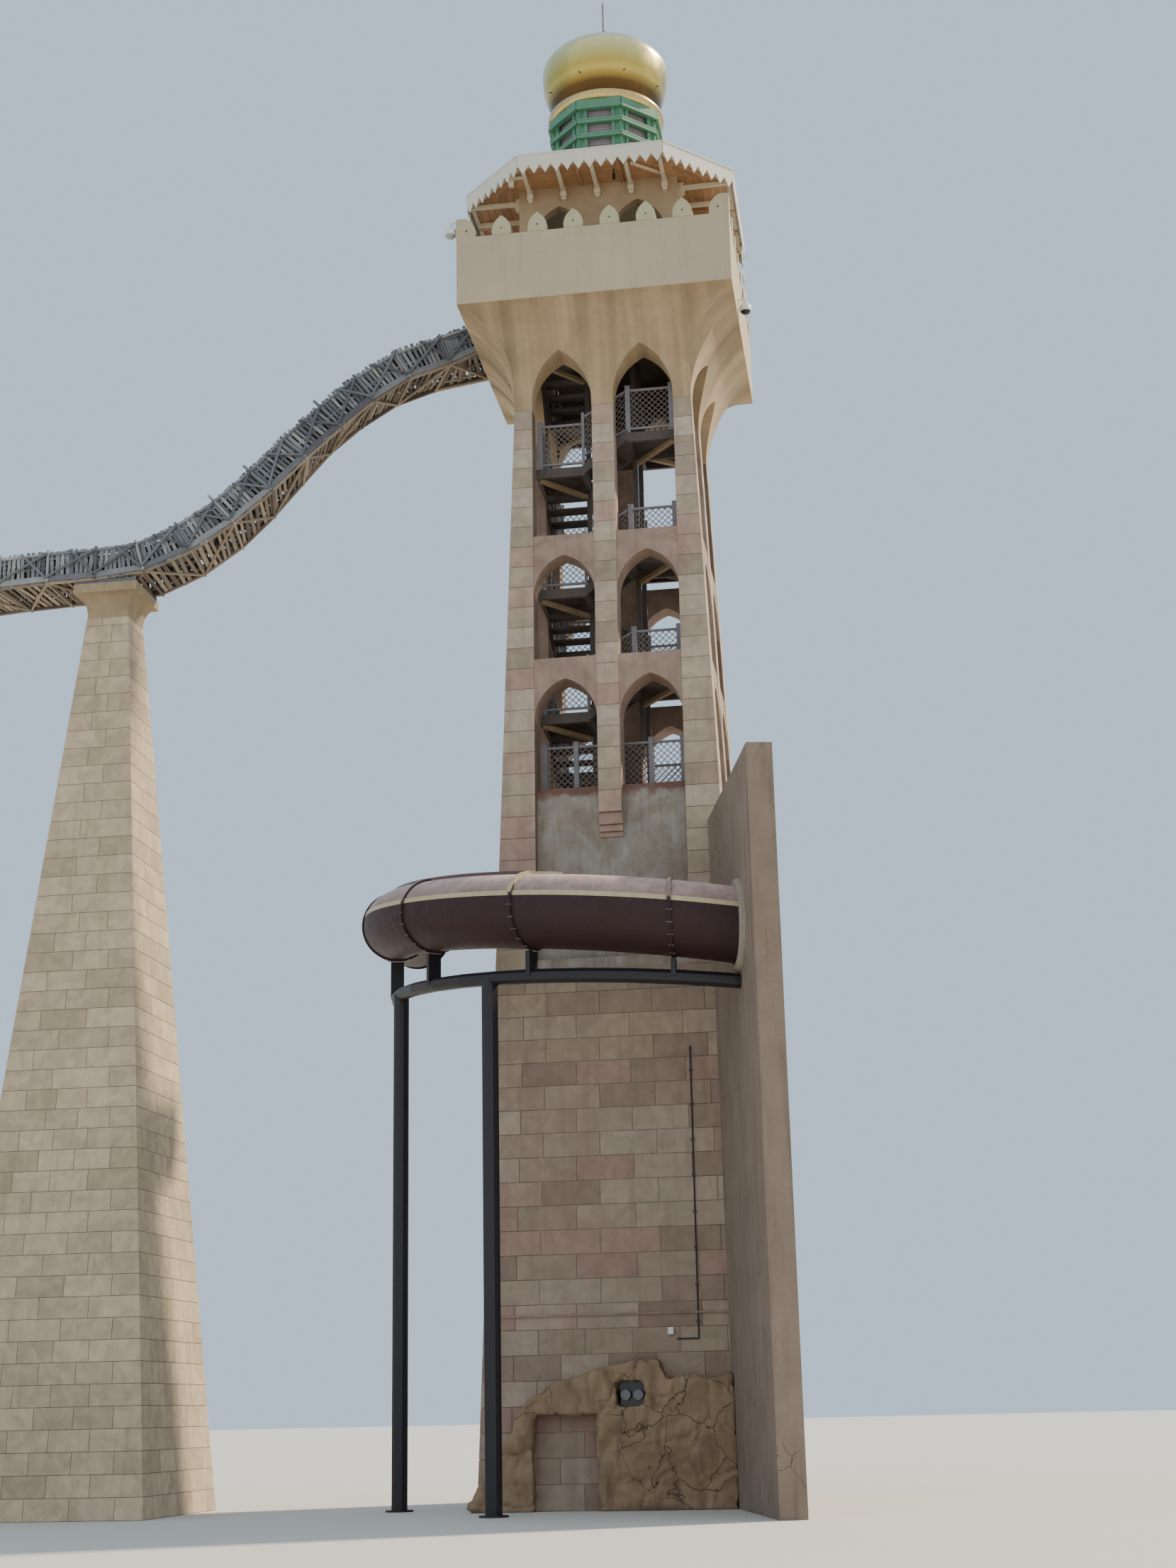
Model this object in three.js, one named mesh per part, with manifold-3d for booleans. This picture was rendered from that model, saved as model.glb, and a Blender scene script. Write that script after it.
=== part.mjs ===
// Water slide tower: a tall stone tower with a flared head and a domed lantern, its stair, the timber-clad
// chute that leaves it on a pier, and a stretch of tube slide. Millimetres, Z up, base on the XY plane.
import * as THREE from 'three';
import { mergeVertices } from 'three/addons/utils/BufferGeometryUtils.js';
import Module from 'manifold-3d';

const wasm = await Module();
wasm.setup();

// Driving sizes
const STOREY = 2700;
const INNER = 1480; // half of the clear shaft
const SHAFT_TOP = 21800;
const HALF_TOP = 1840; // half of the shaft where the flare starts
const BATTER = 0.0356; // outer faces lean in by this much per unit of height
const DECK = 13500; // the lowest deck, where the openings start
const PANEL_FOOT = 10000; // the rendered panels are set back above this
const PANEL_SET_BACK = 200;
const WALL = 350;
const MID_PIER = 230; // half width
const SPRING_DROP = 850; // rise of the arches in the storey openings
const SPANDREL = 450; // wall between an arch's point and the next sill
const CORBEL_STEPS = [[230, 530], [170, 800], [110, 1020]]; // half width and drop of the middle pier's foot
const FLARE_TOP = 23850;
const FLARE_OUT = 1030;
const FLARE_ARCH_TOP = 23100;
const FLARE_ARCH_RISE = 1080;
const HEAD_HALF = HALF_TOP + FLARE_OUT;
const PARAPET_TOP = 25400;
const PARAPET_THICK = 200;
const HEAD_FLOOR = 24150;
const MERLON_STEP = 763;
const MERLON_HALF = 200;
const MERLON_HIGH = 450;
const ROOM_HALF = 1720;
const ROOM_WALL = 220;
const CEILING = 27000; // the underside of the eaves
const ROOM_CEILING = 27120;
const ROOM_ARCH_TOP = 26640;
const ROOM_ARCH_RISE = 900;
const EAVE_HALF = 2890;
const EAVE_FRONT = 1540; // half length of the straight part of each eave
const EAVE_TOP = 27150;
const LANTERN_FOOT = 27600;
const LANTERN_RAILS = 27750; // the lowest rail's underside
const LANTERN_TOP = 29560;
const LANTERN_R = 1290;
const DOME_R = 1420;
const DOME_MID = 30900; // where it's widest
const DOME_LOW = 1710; // the lower part's half axis
const RING_HIGH = 260;
const DOME_TOP = 31580;
const RISE = STOREY / 4; // one side of the stair
const WELL = 450; // half of the stair's open middle
const GAP = 0.3;

// Finishes
const finish = (name, colour, roughness, metalness) => {
  const made = new THREE.MeshStandardMaterial({ color: colour, roughness, metalness });
  made.name = name;
  return made;
};
const FINISH = {
  ashlar: finish('ashlar', 0xc9b08a, 0.9, 0),
  rock: finish('rock', 0xa8906f, 0.95, 0),
  render: finish('render', 0xa9a48f, 0.92, 0),
  plaster: finish('plaster', 0xd8ccb0, 0.9, 0),
  roof: finish('roof', 0xe9e4d8, 0.7, 0),
  strut: finish('strut', 0xddd3bd, 0.7, 0),
  lantern: finish('lantern', 0x8fcdb0, 0.5, 0),
  louvre: finish('louvre', 0x6b5f62, 0.6, 0),
  gold: finish('gold', 0xc9a13a, 0.3, 1),
  steel: finish('steel', 0x8d8f8d, 0.5, 0.6),
  cover: finish('cover', 0xe6e6e2, 0.4, 0),
  timber: finish('timber', 0x7d7468, 0.85, 0),
  flume: finish('flume', 0x9fb4bd, 0.35, 0),
  tube: finish('tube', 0x5e3a36, 0.35, 0),
  beam: finish('beam', 0x252a4a, 0.45, 0.3),
};

// Solids and how they are joined and cut
const solid = (geometry) => {
  let plain = geometry.clone();
  plain.deleteAttribute('normal');
  plain.deleteAttribute('uv');
  plain = mergeVertices(plain, 1e-4);
  return new wasm.Manifold(new wasm.Mesh({
    numProp: 3,
    vertProperties: new Float32Array(plain.attributes.position.array),
    triVerts: new Uint32Array(plain.index.array),
  }));
};

const shown = (body) => {
  const mesh = body.getMesh();
  const geometry = new THREE.BufferGeometry();
  geometry.setAttribute('position', new THREE.BufferAttribute(new Float32Array(mesh.vertProperties), 3));
  geometry.setIndex(new THREE.BufferAttribute(new Uint32Array(mesh.triVerts), 1));
  const flat = geometry.toNonIndexed();
  flat.computeVertexNormals();
  return flat;
};

const join = (parts) => shown(wasm.Manifold.union(parts.map(solid)));
const cut = (body, tools) => shown(solid(body).subtract(wasm.Manifold.union(tools.map(solid))));
const common = (a, b) => shown(solid(a).intersect(solid(b)));

const box = (x0, x1, y0, y1, z0, z1) => {
  const made = new THREE.BoxGeometry(x1 - x0, y1 - y0, z1 - z0);
  made.translate((x0 + x1) / 2, (y0 + y1) / 2, (z0 + z1) / 2);
  return made;
};

const outline = (points) => new THREE.Shape(points.map(([a, b]) => new THREE.Vector2(a, b)));

const prism = (shape, depth, curveSegments = 8) =>
  new THREE.ExtrudeGeometry(shape, { depth, bevelEnabled: false, curveSegments });

// a plan outline raised from z0 to z1
const raised = (shape, z0, z1, segments) => {
  const made = prism(shape, z1 - z0, segments);
  made.translate(0, 0, z0);
  return made;
};

// an outline drawn in X and Z, given its depth along Y
const alongY = (shape, y0, y1, segments) => {
  const made = prism(shape, y1 - y0, segments);
  made.rotateX(Math.PI / 2);
  made.translate(0, y1, 0);
  return made;
};

// an outline drawn in Y and Z, given its length along X
const alongX = (shape, x0, x1, segments) => {
  const made = prism(shape, x1 - x0, segments);
  made.rotateX(Math.PI / 2);
  made.rotateZ(Math.PI / 2);
  made.translate(x0, 0, 0);
  return made;
};

const turned = (geometry, quarters) => {
  const made = geometry.clone();
  const swaps = [[1, 0, 0, 1], [0, -1, 1, 0], [-1, 0, 0, -1], [0, 1, -1, 0]];
  const [a, b, c, d] = swaps[((quarters % 4) + 4) % 4];
  made.applyMatrix4(new THREE.Matrix4().set(a, b, 0, 0, c, d, 0, 0, 0, 0, 1, 0, 0, 0, 0, 1));
  made.computeVertexNormals();
  return made;
};

// a closed skin through rings of points, each ring listed anticlockwise seen from its far end
const skin = (rings, close = false) => {
  const n = rings[0].length;
  const points = rings.flat();
  const index = [];
  const spans = close ? rings.length : rings.length - 1;
  for (let i = 0; i < spans; i += 1) {
    const a = i * n;
    const b = ((i + 1) % rings.length) * n;
    for (let j = 0; j < n; j += 1) {
      const k = (j + 1) % n;
      index.push(a + j, a + k, b + k, a + j, b + k, b + j);
    }
  }
  if (!close) {
    const flat = rings[0].map((p) => flatten(rings[0], p));
    const faces = THREE.ShapeUtils.triangulateShape(flat, []);
    const last = (rings.length - 1) * n;
    faces.forEach(([p, q, r]) => {
      index.push(p, r, q);
      index.push(last + p, last + q, last + r);
    });
  }
  const made = new THREE.BufferGeometry();
  made.setAttribute('position', new THREE.Float32BufferAttribute(points.flatMap((p) => [p.x, p.y, p.z]), 3));
  made.setIndex(index);
  made.computeVertexNormals();
  return made;
};

// a ring's points in the plane of the ring itself
function flatten(ring, p) {
  const origin = ring[0];
  const across = ring[1].clone().sub(origin).normalize();
  const normal = new THREE.Vector3();
  ring.forEach((q, i) => {
    const r = ring[(i + 1) % ring.length];
    normal.add(new THREE.Vector3().crossVectors(q, r));
  });
  normal.normalize();
  const up = new THREE.Vector3().crossVectors(normal, across);
  const d = p.clone().sub(origin);
  return new THREE.Vector2(d.dot(across), d.dot(up));
}

const half = (z) => HALF_TOP + BATTER * (SHAFT_TOP - z);

// a pointed arch opening: straight sides from z0 to the spring, then two arcs to the apex
const archHole = (x0, x1, z0, apex, rise) => {
  const width = x1 - x0;
  const radius = (width * width / 4 + rise * rise) / width;
  const spring = apex - rise;
  const turn = Math.asin(rise / radius);
  const path = new THREE.Path();
  path.moveTo(x0, z0);
  path.lineTo(x1, z0);
  path.lineTo(x1, spring);
  path.absarc(x1 - radius, spring, radius, 0, turn, false);
  path.absarc(x0 + radius, spring, radius, Math.PI - turn, Math.PI, false);
  path.lineTo(x0, z0);
  return path;
};

const asShape = (path, segments = 6) => new THREE.Shape(path.getPoints(segments));

// The shaft: base walls, corner piers and the pierced upper walls
const basePiece = () => {
  const top = half(DECK) - PANEL_SET_BACK;
  const foot = half(PANEL_FOOT);
  return alongX(outline([
    [-half(0), 0],
    [-half(0) + 2 * WALL, 0],
    [-top + WALL, DECK],
    [-top, DECK],
    [-foot + PANEL_SET_BACK, PANEL_FOOT],
    [-foot, PANEL_FOOT],
  ]), -INNER, INNER);
};

const cornerPiece = () => {
  const ring = (z) => {
    const h = half(z);
    const plan = [[-h, -h], [-INNER, -h], [-INNER, -INNER], [-h, -INNER]];
    return plan.map(([x, y]) => new THREE.Vector3(x, y, z));
  };
  return skin([ring(0), ring(SHAFT_TOP)]);
};

const tracery = () => {
  const right = CORBEL_STEPS.flatMap(([wide, drop], i) => {
    const above = i === 0 ? 0 : CORBEL_STEPS[i - 1][1];
    return [[wide, DECK - above], [wide, DECK - drop]];
  });
  const left = right.map(([x, z]) => [-x, z]);
  const sheet = outline([
    [INNER, SHAFT_TOP], [-INNER, SHAFT_TOP], [-INNER, DECK], ...left, ...right.reverse(), [INNER, DECK],
  ]);
  const foot = DECK - CORBEL_STEPS.at(-1)[1];
  const slab = alongY(sheet, -half(foot), -INNER);
  const low = foot - 80;
  const lean = alongX(outline([
    [-half(low), low],
    [-INNER, low],
    [-INNER, SHAFT_TOP],
    [-HALF_TOP, SHAFT_TOP],
  ]), -INNER - 10, INNER + 10);
  const holes = [];
  [[-INNER, -MID_PIER], [MID_PIER, INNER]].forEach(([x0, x1]) => {
    [0, 1].forEach((level) => {
      const sill = DECK + level * STOREY;
      const from = level === 0 ? sill - 1 : sill;
      const hole = asShape(archHole(x0, x1, from, sill + STOREY - SPANDREL, SPRING_DROP));
      holes.push(alongY(hole, -3000, -1000));
    });
    const tall = DECK + 2 * STOREY;
    holes.push(box(x0, x1, -3000, -1000, tall, SHAFT_TOP + 10));
  });
  const behind = alongX(outline([
    [-half(low) + PANEL_SET_BACK - GAP, low],
    [-INNER + 10, low],
    [-INNER + 10, DECK],
    [-half(DECK) + PANEL_SET_BACK - GAP, DECK],
  ]), -INNER, INNER);
  return cut(common(slab, lean), [...holes, behind]);
};

// The flare under the head
const flarePiece = () => {
  const rings = [];
  const steps = 12;
  const seam = GAP / 2;
  const ledge = 12;
  const sweep = FLARE_OUT - ledge;
  for (let i = 0; i <= steps; i += 1) {
    const t = i / steps;
    const z = SHAFT_TOP + (FLARE_TOP - SHAFT_TOP) * t;
    const face = ledge + sweep * (1 - Math.cos(t * Math.PI / 2) ** 0.75);
    const corner = ledge + sweep * Math.min(1, ((face - ledge) / sweep) ** 2.2);
    const f = HALF_TOP + face;
    const k = HALF_TOP + corner;
    rings.push([
      [-k + seam, -k], [-HALF_TOP, -f], [HALF_TOP, -f], [k - seam, -k],
      [INNER - seam, -INNER], [-INNER + seam, -INNER],
    ].map(([x, y]) => new THREE.Vector3(x, y, z)));
  }
  const holes = [[-INNER + 1, -MID_PIER], [MID_PIER, INNER - 1]].map(([x0, x1]) =>
    alongY(asShape(archHole(x0, x1, SHAFT_TOP - 10, FLARE_ARCH_TOP, FLARE_ARCH_RISE)), -4000, -1000));
  return cut(skin(rings), holes);
};

// The head: parapets, room, floor and canopy
// one edge of a leaf-shaped merlon from its foot to its point, dir giving the side of x0 it lies on
const LEAF = [[1, 0], [1.05, 110], [0.95, 215], [0.68, 320], [0.32, 400], [0, MERLON_HIGH]];
const leafSide = (x0, dir, z) => LEAF.map(([out, up]) =>
  new THREE.Vector2(x0 + dir * MERLON_HALF * out, z + up));

const parapet = (full) => {
  const end = full ? HEAD_HALF : HEAD_HALF - PARAPET_THICK;
  const last = 3.5 * MERLON_STEP;
  const points = [new THREE.Vector2(-end, FLARE_TOP), new THREE.Vector2(end, FLARE_TOP)];
  if (full) {
    points.push(new THREE.Vector2(end, PARAPET_TOP + MERLON_HIGH));
  }
  points.push(...leafSide(full ? last : end, -1, PARAPET_TOP).reverse());
  for (let i = 2.5; i >= -2.5; i -= 1) {
    points.push(...leafSide(i * MERLON_STEP, 1, PARAPET_TOP));
    points.push(...leafSide(i * MERLON_STEP, -1, PARAPET_TOP).reverse().slice(1));
  }
  points.push(...leafSide(full ? -last : -end, 1, PARAPET_TOP));
  if (full) {
    points.push(new THREE.Vector2(-end, PARAPET_TOP + MERLON_HIGH));
  }
  return alongY(new THREE.Shape(points), -HEAD_HALF, -HEAD_HALF + PARAPET_THICK);
};

const headFloor = () => {
  const e = HEAD_HALF - PARAPET_THICK;
  return box(-e, e, -e, e, FLARE_TOP, HEAD_FLOOR);
};

const stairWell = () => raised(outline([
  [-INNER, -INNER], [WELL, -INNER], [WELL, -WELL], [-WELL, -WELL], [-WELL, INNER], [-INNER, INNER],
]), FLARE_TOP - 10, HEAD_FLOOR + 10);

const roomWall = (full) => {
  const end = full ? ROOM_HALF : ROOM_HALF - ROOM_WALL;
  const shape = outline([[-end, HEAD_FLOOR], [end, HEAD_FLOOR], [end, ROOM_CEILING], [-end, ROOM_CEILING]]);
  const body = alongY(shape, -ROOM_HALF, -ROOM_HALF + ROOM_WALL);
  const holes = [[-INNER + 20, -MID_PIER], [MID_PIER, INNER - 20]].map(([x0, x1]) =>
    alongY(asShape(archHole(x0, x1, HEAD_FLOOR - 10, ROOM_ARCH_TOP, ROOM_ARCH_RISE)), -2000, -1000));
  return cut(body, holes);
};

const chamfered = (reach, front) => [
  [-front, -reach], [front, -reach], [reach, -front], [reach, front],
  [front, reach], [-front, reach], [-reach, front], [-reach, -front],
];

const canopyRoof = () => {
  const eave = chamfered(EAVE_HALF, EAVE_FRONT);
  const top = chamfered(LANTERN_R, LANTERN_R * Math.tan(Math.PI / 8));
  const ring = (list, z) => list.map(([x, y]) => new THREE.Vector3(x, y, z));
  const ceiling = chamfered(ROOM_HALF + 5, ROOM_HALF - 5);
  return skin([
    ring(ceiling, ROOM_CEILING), ring(eave, CEILING), ring(eave, EAVE_TOP), ring(top, LANTERN_FOOT),
  ]);
};

const fringe = () => {
  const deep = 180;
  const tooth = 150;
  const thick = 30;
  const eave = chamfered(EAVE_HALF, EAVE_FRONT);
  const shape = outline(eave);
  const inside = chamfered(EAVE_HALF - thick, EAVE_FRONT - thick * Math.tan(Math.PI / 8));
  shape.holes.push(new THREE.Path(inside.reverse().map(([x, y]) => new THREE.Vector2(x, y))));
  const notches = [];
  eave.forEach(([x0, y0], i) => {
    const [x1, y1] = eave[(i + 1) % eave.length];
    const long = Math.hypot(x1 - x0, y1 - y0);
    const count = Math.round(long / 250);
    const step = long / count;
    for (let j = 0; j < count; j += 1) {
      const low = CEILING - deep - 10;
      const notch = alongY(outline([
        [(j + 0.02) * step, low], [(j + 0.98) * step, low], [(j + 0.5) * step, low + tooth],
      ]), -80, 120);
      notch.rotateZ(Math.atan2(y1 - y0, x1 - x0));
      notch.translate(x0, y0, 0);
      notches.push(notch);
    }
  });
  return cut(raised(shape, CEILING - deep, CEILING), notches);
};

// a straight bar of square section between two points
const bar = (from, to, size) => {
  const a = new THREE.Vector3(...from);
  const b = new THREE.Vector3(...to);
  const made = new THREE.BoxGeometry(size, size, a.distanceTo(b));
  const turn = new THREE.Quaternion().setFromUnitVectors(
    new THREE.Vector3(0, 0, 1),
    b.clone().sub(a).normalize(),
  );
  made.applyQuaternion(turn);
  made.translate((a.x + b.x) / 2, (a.y + b.y) / 2, (a.z + b.z) / 2);
  return made;
};

// struts with foot blocks on the room's walls, joined by a thin plate behind the fringe
const STRUT_STEP = 730;
const canopyFrame = () => {
  const parts = [];
  const ringOut = EAVE_HALF - 90;
  const ringFront = EAVE_FRONT - 40;
  const z = CEILING - 41;
  const plate = CEILING - 35;
  for (let q = 0; q < 4; q += 1) {
    for (let i = -2; i <= 2; i += 1) {
      const x = i * STRUT_STEP;
      parts.push(turned(bar([x, -ROOM_HALF - 40, z - 20], [x, -ringOut, z], 80), q));
      parts.push(turned(box(x - 50, x + 50, -ROOM_HALF - 110, -ROOM_HALF, z - 120, z + 90), q));
    }
    const end = ringFront + 20;
    parts.push(turned(box(-end, end, -ringOut - 50, -ringOut + 40, plate, CEILING - 1), q));
    const hip = box(-30, Math.SQRT2 * (ringOut - ringFront) + 30, -40, 40, plate, CEILING - 1);
    hip.rotateZ(Math.PI / 4);
    hip.translate(ringFront, -ringOut, 0);
    parts.push(turned(hip, q));
  }
  return join(parts);
};

// The lantern and its dome
const octagon = (radius) => {
  const points = [];
  for (let i = 0; i < 8; i += 1) {
    const a = (i + 0.5) * Math.PI / 4;
    points.push([radius * Math.cos(a), radius * Math.sin(a)]);
  }
  return points;
};

const octagonRing = (outer, inner, z0, z1) => {
  const shape = outline(octagon(outer));
  shape.holes.push(new THREE.Path(octagon(inner).reverse().map(([x, y]) => new THREE.Vector2(x, y))));
  return raised(shape, z0, z1);
};

const lanternFrame = () => {
  const foot = LANTERN_RAILS;
  const parts = [];
  const rails = 5;
  const step = 370;
  for (let i = 0; i < rails; i += 1) {
    const z = LANTERN_TOP - 110 - i * step;
    parts.push(octagonRing(LANTERN_R + (i === 0 ? 60 : 20), LANTERN_R - 120, z, z + 110));
  }
  for (let i = 0; i < 8; i += 1) {
    const a = (i + 0.5) * Math.PI / 4;
    [-1, 1].forEach((side) => {
      const post = box(-55, 55, -55, 55, foot, LANTERN_TOP);
      post.rotateZ(a);
      const along = a + side * Math.PI * 5 / 8;
      const r = LANTERN_R - 60;
      const apart = 130;
      post.translate(r * Math.cos(a) + apart * Math.cos(along), r * Math.sin(a) + apart * Math.sin(along), 0);
      parts.push(post);
    });
  }
  return join(parts);
};

const lanternLouvres = () => octagonRing(LANTERN_R - 150, LANTERN_R - 200, LANTERN_RAILS, LANTERN_TOP);

const lathe = (profile, segments) => {
  const made = new THREE.LatheGeometry(profile.map(([r, z]) => new THREE.Vector2(r, z)), segments);
  made.rotateX(Math.PI / 2);
  return made;
};

const dome = () => {
  const foot = LANTERN_TOP + RING_HIGH;
  const profile = [[0, foot]];
  const start = -Math.asin((DOME_MID - foot) / DOME_LOW);
  const high = DOME_TOP - DOME_MID;
  for (let i = 0; i <= 6; i += 1) {
    const a = start * (1 - i / 6);
    profile.push([DOME_R * Math.cos(a), DOME_MID + DOME_LOW * Math.sin(a)]);
  }
  for (let i = 1; i <= 8; i += 1) {
    const a = Math.PI / 2 * i / 8;
    profile.push([Math.max(0, DOME_R * Math.cos(a)), DOME_MID + high * Math.sin(a)]);
  }
  profile[profile.length - 1][0] = 0;
  return lathe(profile, 32);
};

const goldRing = () => lathe([
  [1000, 0], [1240, 0], [1300, 70], [1310, 150], [1270, 220], [1150, RING_HIGH], [1000, RING_HIGH], [1000, 0],
].map(([r, z]) => [r, LANTERN_TOP + z]), 32);

const rod = () => lathe([
  [0, GAP], [160, GAP], [110, 150], [55, 420], [25, 520], [25, 1250], [0, 1370],
].map(([r, z]) => [r, DOME_TOP + z]), 12);

const camera = (x, y, z) => {
  const arm = box(-120, 0, -30, 30, 60, 120);
  const stem = box(-180, -120, -30, 30, -40, 120);
  const shell = new THREE.SphereGeometry(130, 14, 8);
  shell.translate(-150, 0, -130);
  const made = join([arm, stem, shell]);
  made.translate(x, y, z);
  return made;
};

// The stair, its corners in climbing order from the right back one
const CORNERS = [[1, 1], [-1, 1], [-1, -1], [1, -1]];

const landing = (corner, z) => {
  const [sx, sy] = CORNERS[corner];
  const near = WELL;
  const far = INNER;
  const xs = [Math.min(sx * near, sx * far), Math.max(sx * near, sx * far)];
  const ys = [Math.min(sy * near, sy * far), Math.max(sy * near, sy * far)];
  const deep = 200;
  const rim = 80;
  const hollow = box(xs[0] + rim, xs[1] - rim, ys[0] + rim, ys[1] - rim, z - deep - 10, z - 50);
  return [cut(box(xs[0], xs[1], ys[0], ys[1], z - deep, z), [hollow])];
};

// one straight flight drawn on the right hand side, climbing towards +Y, then turned to its side
const flight = (side, z, rise, first, last) => {
  const count = 4;
  const step = rise / count;
  const going = 2 * WELL / (count - 1);
  const parts = [];
  for (let i = 1; i < count; i += 1) {
    const y = -WELL + (i - 1) * going;
    const top = z + i * step;
    parts.push(box(WELL + 20, INNER - 30, y, Math.min(y + going + 20, WELL), top - 40, top));
  }
  const y0 = first ? -WELL : -WELL - 20;
  const y1 = last ? WELL : WELL + 20;
  const slope = rise / (2 * WELL);
  const at = (y) => z + (y + WELL) * slope;
  [[WELL, WELL + 50], [INNER - 50, INNER]].forEach(([x0, x1]) => {
    parts.push(alongX(outline([
      [y0, at(y0) - 150], [y1, at(y1) - 150], [y1, at(y1) + 60], [y0, at(y0) + 60],
    ]), x0, x1));
  });
  return parts.map((part) => turned(part, side));
};

const brace = (corner, z) => {
  const [sx, sy] = CORNERS[corner];
  return bar([sx * 480, sy * 480, z - 300], [sx * 1396, sy * 1396, z - 215], 60);
};

const post = (corner, z0, z1) => {
  const [sx, sy] = CORNERS[corner];
  return box(sx * 500 - 50, sx * 500 + 50, sy * 500 - 50, sy * 500 + 50, z0, z1);
};

const stairTurn = (turn) => {
  const base = DECK + 350 + turn * STOREY;
  const parts = [];
  if (turn === 0) {
    parts.push(box(WELL + 20, INNER - 30, WELL - 330, WELL + 20, DECK, DECK + 175));
  }
  for (let i = 0; i < 4; i += 1) {
    const z = base + i * RISE;
    const isTop = turn === 3 && i === 3;
    if (turn > 0 || i > 0) {
      parts.push(...flight(i, z - RISE, isTop ? HEAD_FLOOR - z + RISE : RISE, i === 0, isTop));
    }
    if (isTop) {
      break;
    }
    parts.push(...landing(i, z));
    const low = Math.max(DECK, z - 1200);
    const high = turn === 3 ? FLARE_TOP : z - 1200 + STOREY;
    parts.push(post(i, low, high));
    if (z - 400 > DECK) {
      parts.push(brace(i, z));
    }
  }
  if (turn === 2) {
    parts.push(post(3, base + 3 * RISE - 1200 + STOREY - 10, FLARE_TOP));
  }
  return join(parts);
};

// a sloping or level bar that runs along one side of the stair, its ends cut upright
const railBar = (y0, y1, z0, z1, x, size) => alongX(outline([
  [y0, z0 - size / 2], [y1, z1 - size / 2], [y1, z1 + size / 2], [y0, z0 + size / 2],
]), x - size / 2, x + size / 2);

const RAIL_AT = INNER - 85;
const railRun = (side, y0, y1, z0, z1) => {
  const parts = [];
  [1000, 120].forEach((up) => {
    parts.push(railBar(y0, y1, z0 + up, z1 + up, RAIL_AT, 44));
  });
  return parts.map((part) => turned(part, side));
};

const railPost = (side, y, z, high = 1080) =>
  turned(box(RAIL_AT - 30, RAIL_AT + 30, y - 30, y + 30, z, z + high), side);

const stairRail = (turn) => {
  const base = DECK + 350 + turn * STOREY;
  const parts = [];
  for (let i = 0; i < 4; i += 1) {
    const z = base + i * RISE;
    if (turn === 3 && i === 3) {
      break;
    }
    if (turn > 0 || i > 0) {
      parts.push(...railRun(i, -WELL - 5, WELL + 5, z - RISE * 0.75, z));
      parts.push(railPost(i, -WELL - 31, z - RISE, 1260));
    }
    parts.push(...railRun(i, WELL + 5, RAIL_AT, z, z));
    parts.push(railPost(i, WELL + 31, z));
    parts.push(railPost(i, RAIL_AT, z));
    const lastOne = (turn === 3 && i === 2);
    if (!lastOne) {
      const stop = i === 3 ? -WELL - 64 : -WELL - 30;
      parts.push(...railRun(i + 1, -RAIL_AT, stop, z, z));
      if (i === 3) {
        parts.push(railPost(i + 1, stop - 30, z));
      }
    }
  }
  return join(parts);
};

const deckRail = () => {
  const parts = [];
  parts.push(...railRun(3, -RAIL_AT, RAIL_AT, DECK, DECK));
  [-RAIL_AT, -760, 0, 760, RAIL_AT].forEach((y) => parts.push(railPost(3, y, DECK)));
  return join(parts);
};

// The chute, by points on the middle line of its underside, from the head outwards
const CHUTE = [
  [-2645, 345, 24160], [-3050, 335, 24120], [-3490, 260, 23960], [-4470, -240, 23440],
  [-5490, -730, 22530], [-6350, -1130, 21480], [-7300, -1430, 20280], [-8230, -1610, 19390],
  [-9200, -1720, 18820], [-10000, -1760, 18580], [-10900, -1770, 18560], [-12200, -1740, 18550],
  [-13600, -1570, 18545], [-15200, -1300, 18540], [-17000, -1010, 18530],
].map((p) => new THREE.Vector3(...p));
const CHUTE_HALF = 680;
const CHUTE_HIGH = 650;
const BOARD = 60;

const chutePath = new THREE.CatmullRomCurve3(CHUTE, false, 'centripetal');
const stations = (count) => {
  const list = [];
  for (let i = 0; i <= count; i += 1) {
    const t = chutePath.getTangentAt(i / count);
    const right = new THREE.Vector3(t.y, -t.x, 0).normalize();
    const up = new THREE.Vector3().crossVectors(right, t).normalize();
    list.push({ at: chutePath.getPointAt(i / count), right, up });
  }
  return list;
};

// a profile swept along the chute as far as the share `to` of it, and led back by `lead` before its start
const chuteRun = (profile, count, to = 1, lead = 0) => {
  const list = stations(count).filter((s, i) => i / count <= to + 1e-9);
  if (lead > 0) {
    const back = chutePath.getTangentAt(0).multiplyScalar(-lead);
    list.unshift({ ...list[0], at: list[0].at.clone().add(back) });
  }
  const ring = [...profile].reverse();
  return skin(list.map((s) => ring.map(([a, b]) =>
    s.at.clone().addScaledVector(s.right, a).addScaledVector(s.up, b))));
};

const chuteBox = () => chuteRun([
  [-CHUTE_HALF, 0], [0, 0], [CHUTE_HALF, 0], [CHUTE_HALF, CHUTE_HIGH], [CHUTE_HALF - BOARD, CHUTE_HIGH],
  [CHUTE_HALF - BOARD, BOARD], [0, BOARD], [-CHUTE_HALF + BOARD, BOARD], [-CHUTE_HALF + BOARD, CHUTE_HIGH],
  [-CHUTE_HALF, CHUTE_HIGH],
], 30);

const flumeProfile = () => {
  const low = BOARD + 1;
  const outer = 560;
  const inner = 520;
  const deep = 470;
  const points = [];
  for (let i = 0; i <= 6; i += 1) {
    const a = Math.PI + Math.PI * i / 6;
    points.push([outer * Math.cos(a), low + deep + deep * Math.sin(a)]);
  }
  for (let i = 0; i <= 6; i += 1) {
    const a = 2 * Math.PI - Math.PI * i / 6;
    points.push([inner * Math.cos(a), low + deep + (deep - 30) * Math.sin(a)]);
  }
  return points;
};

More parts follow.
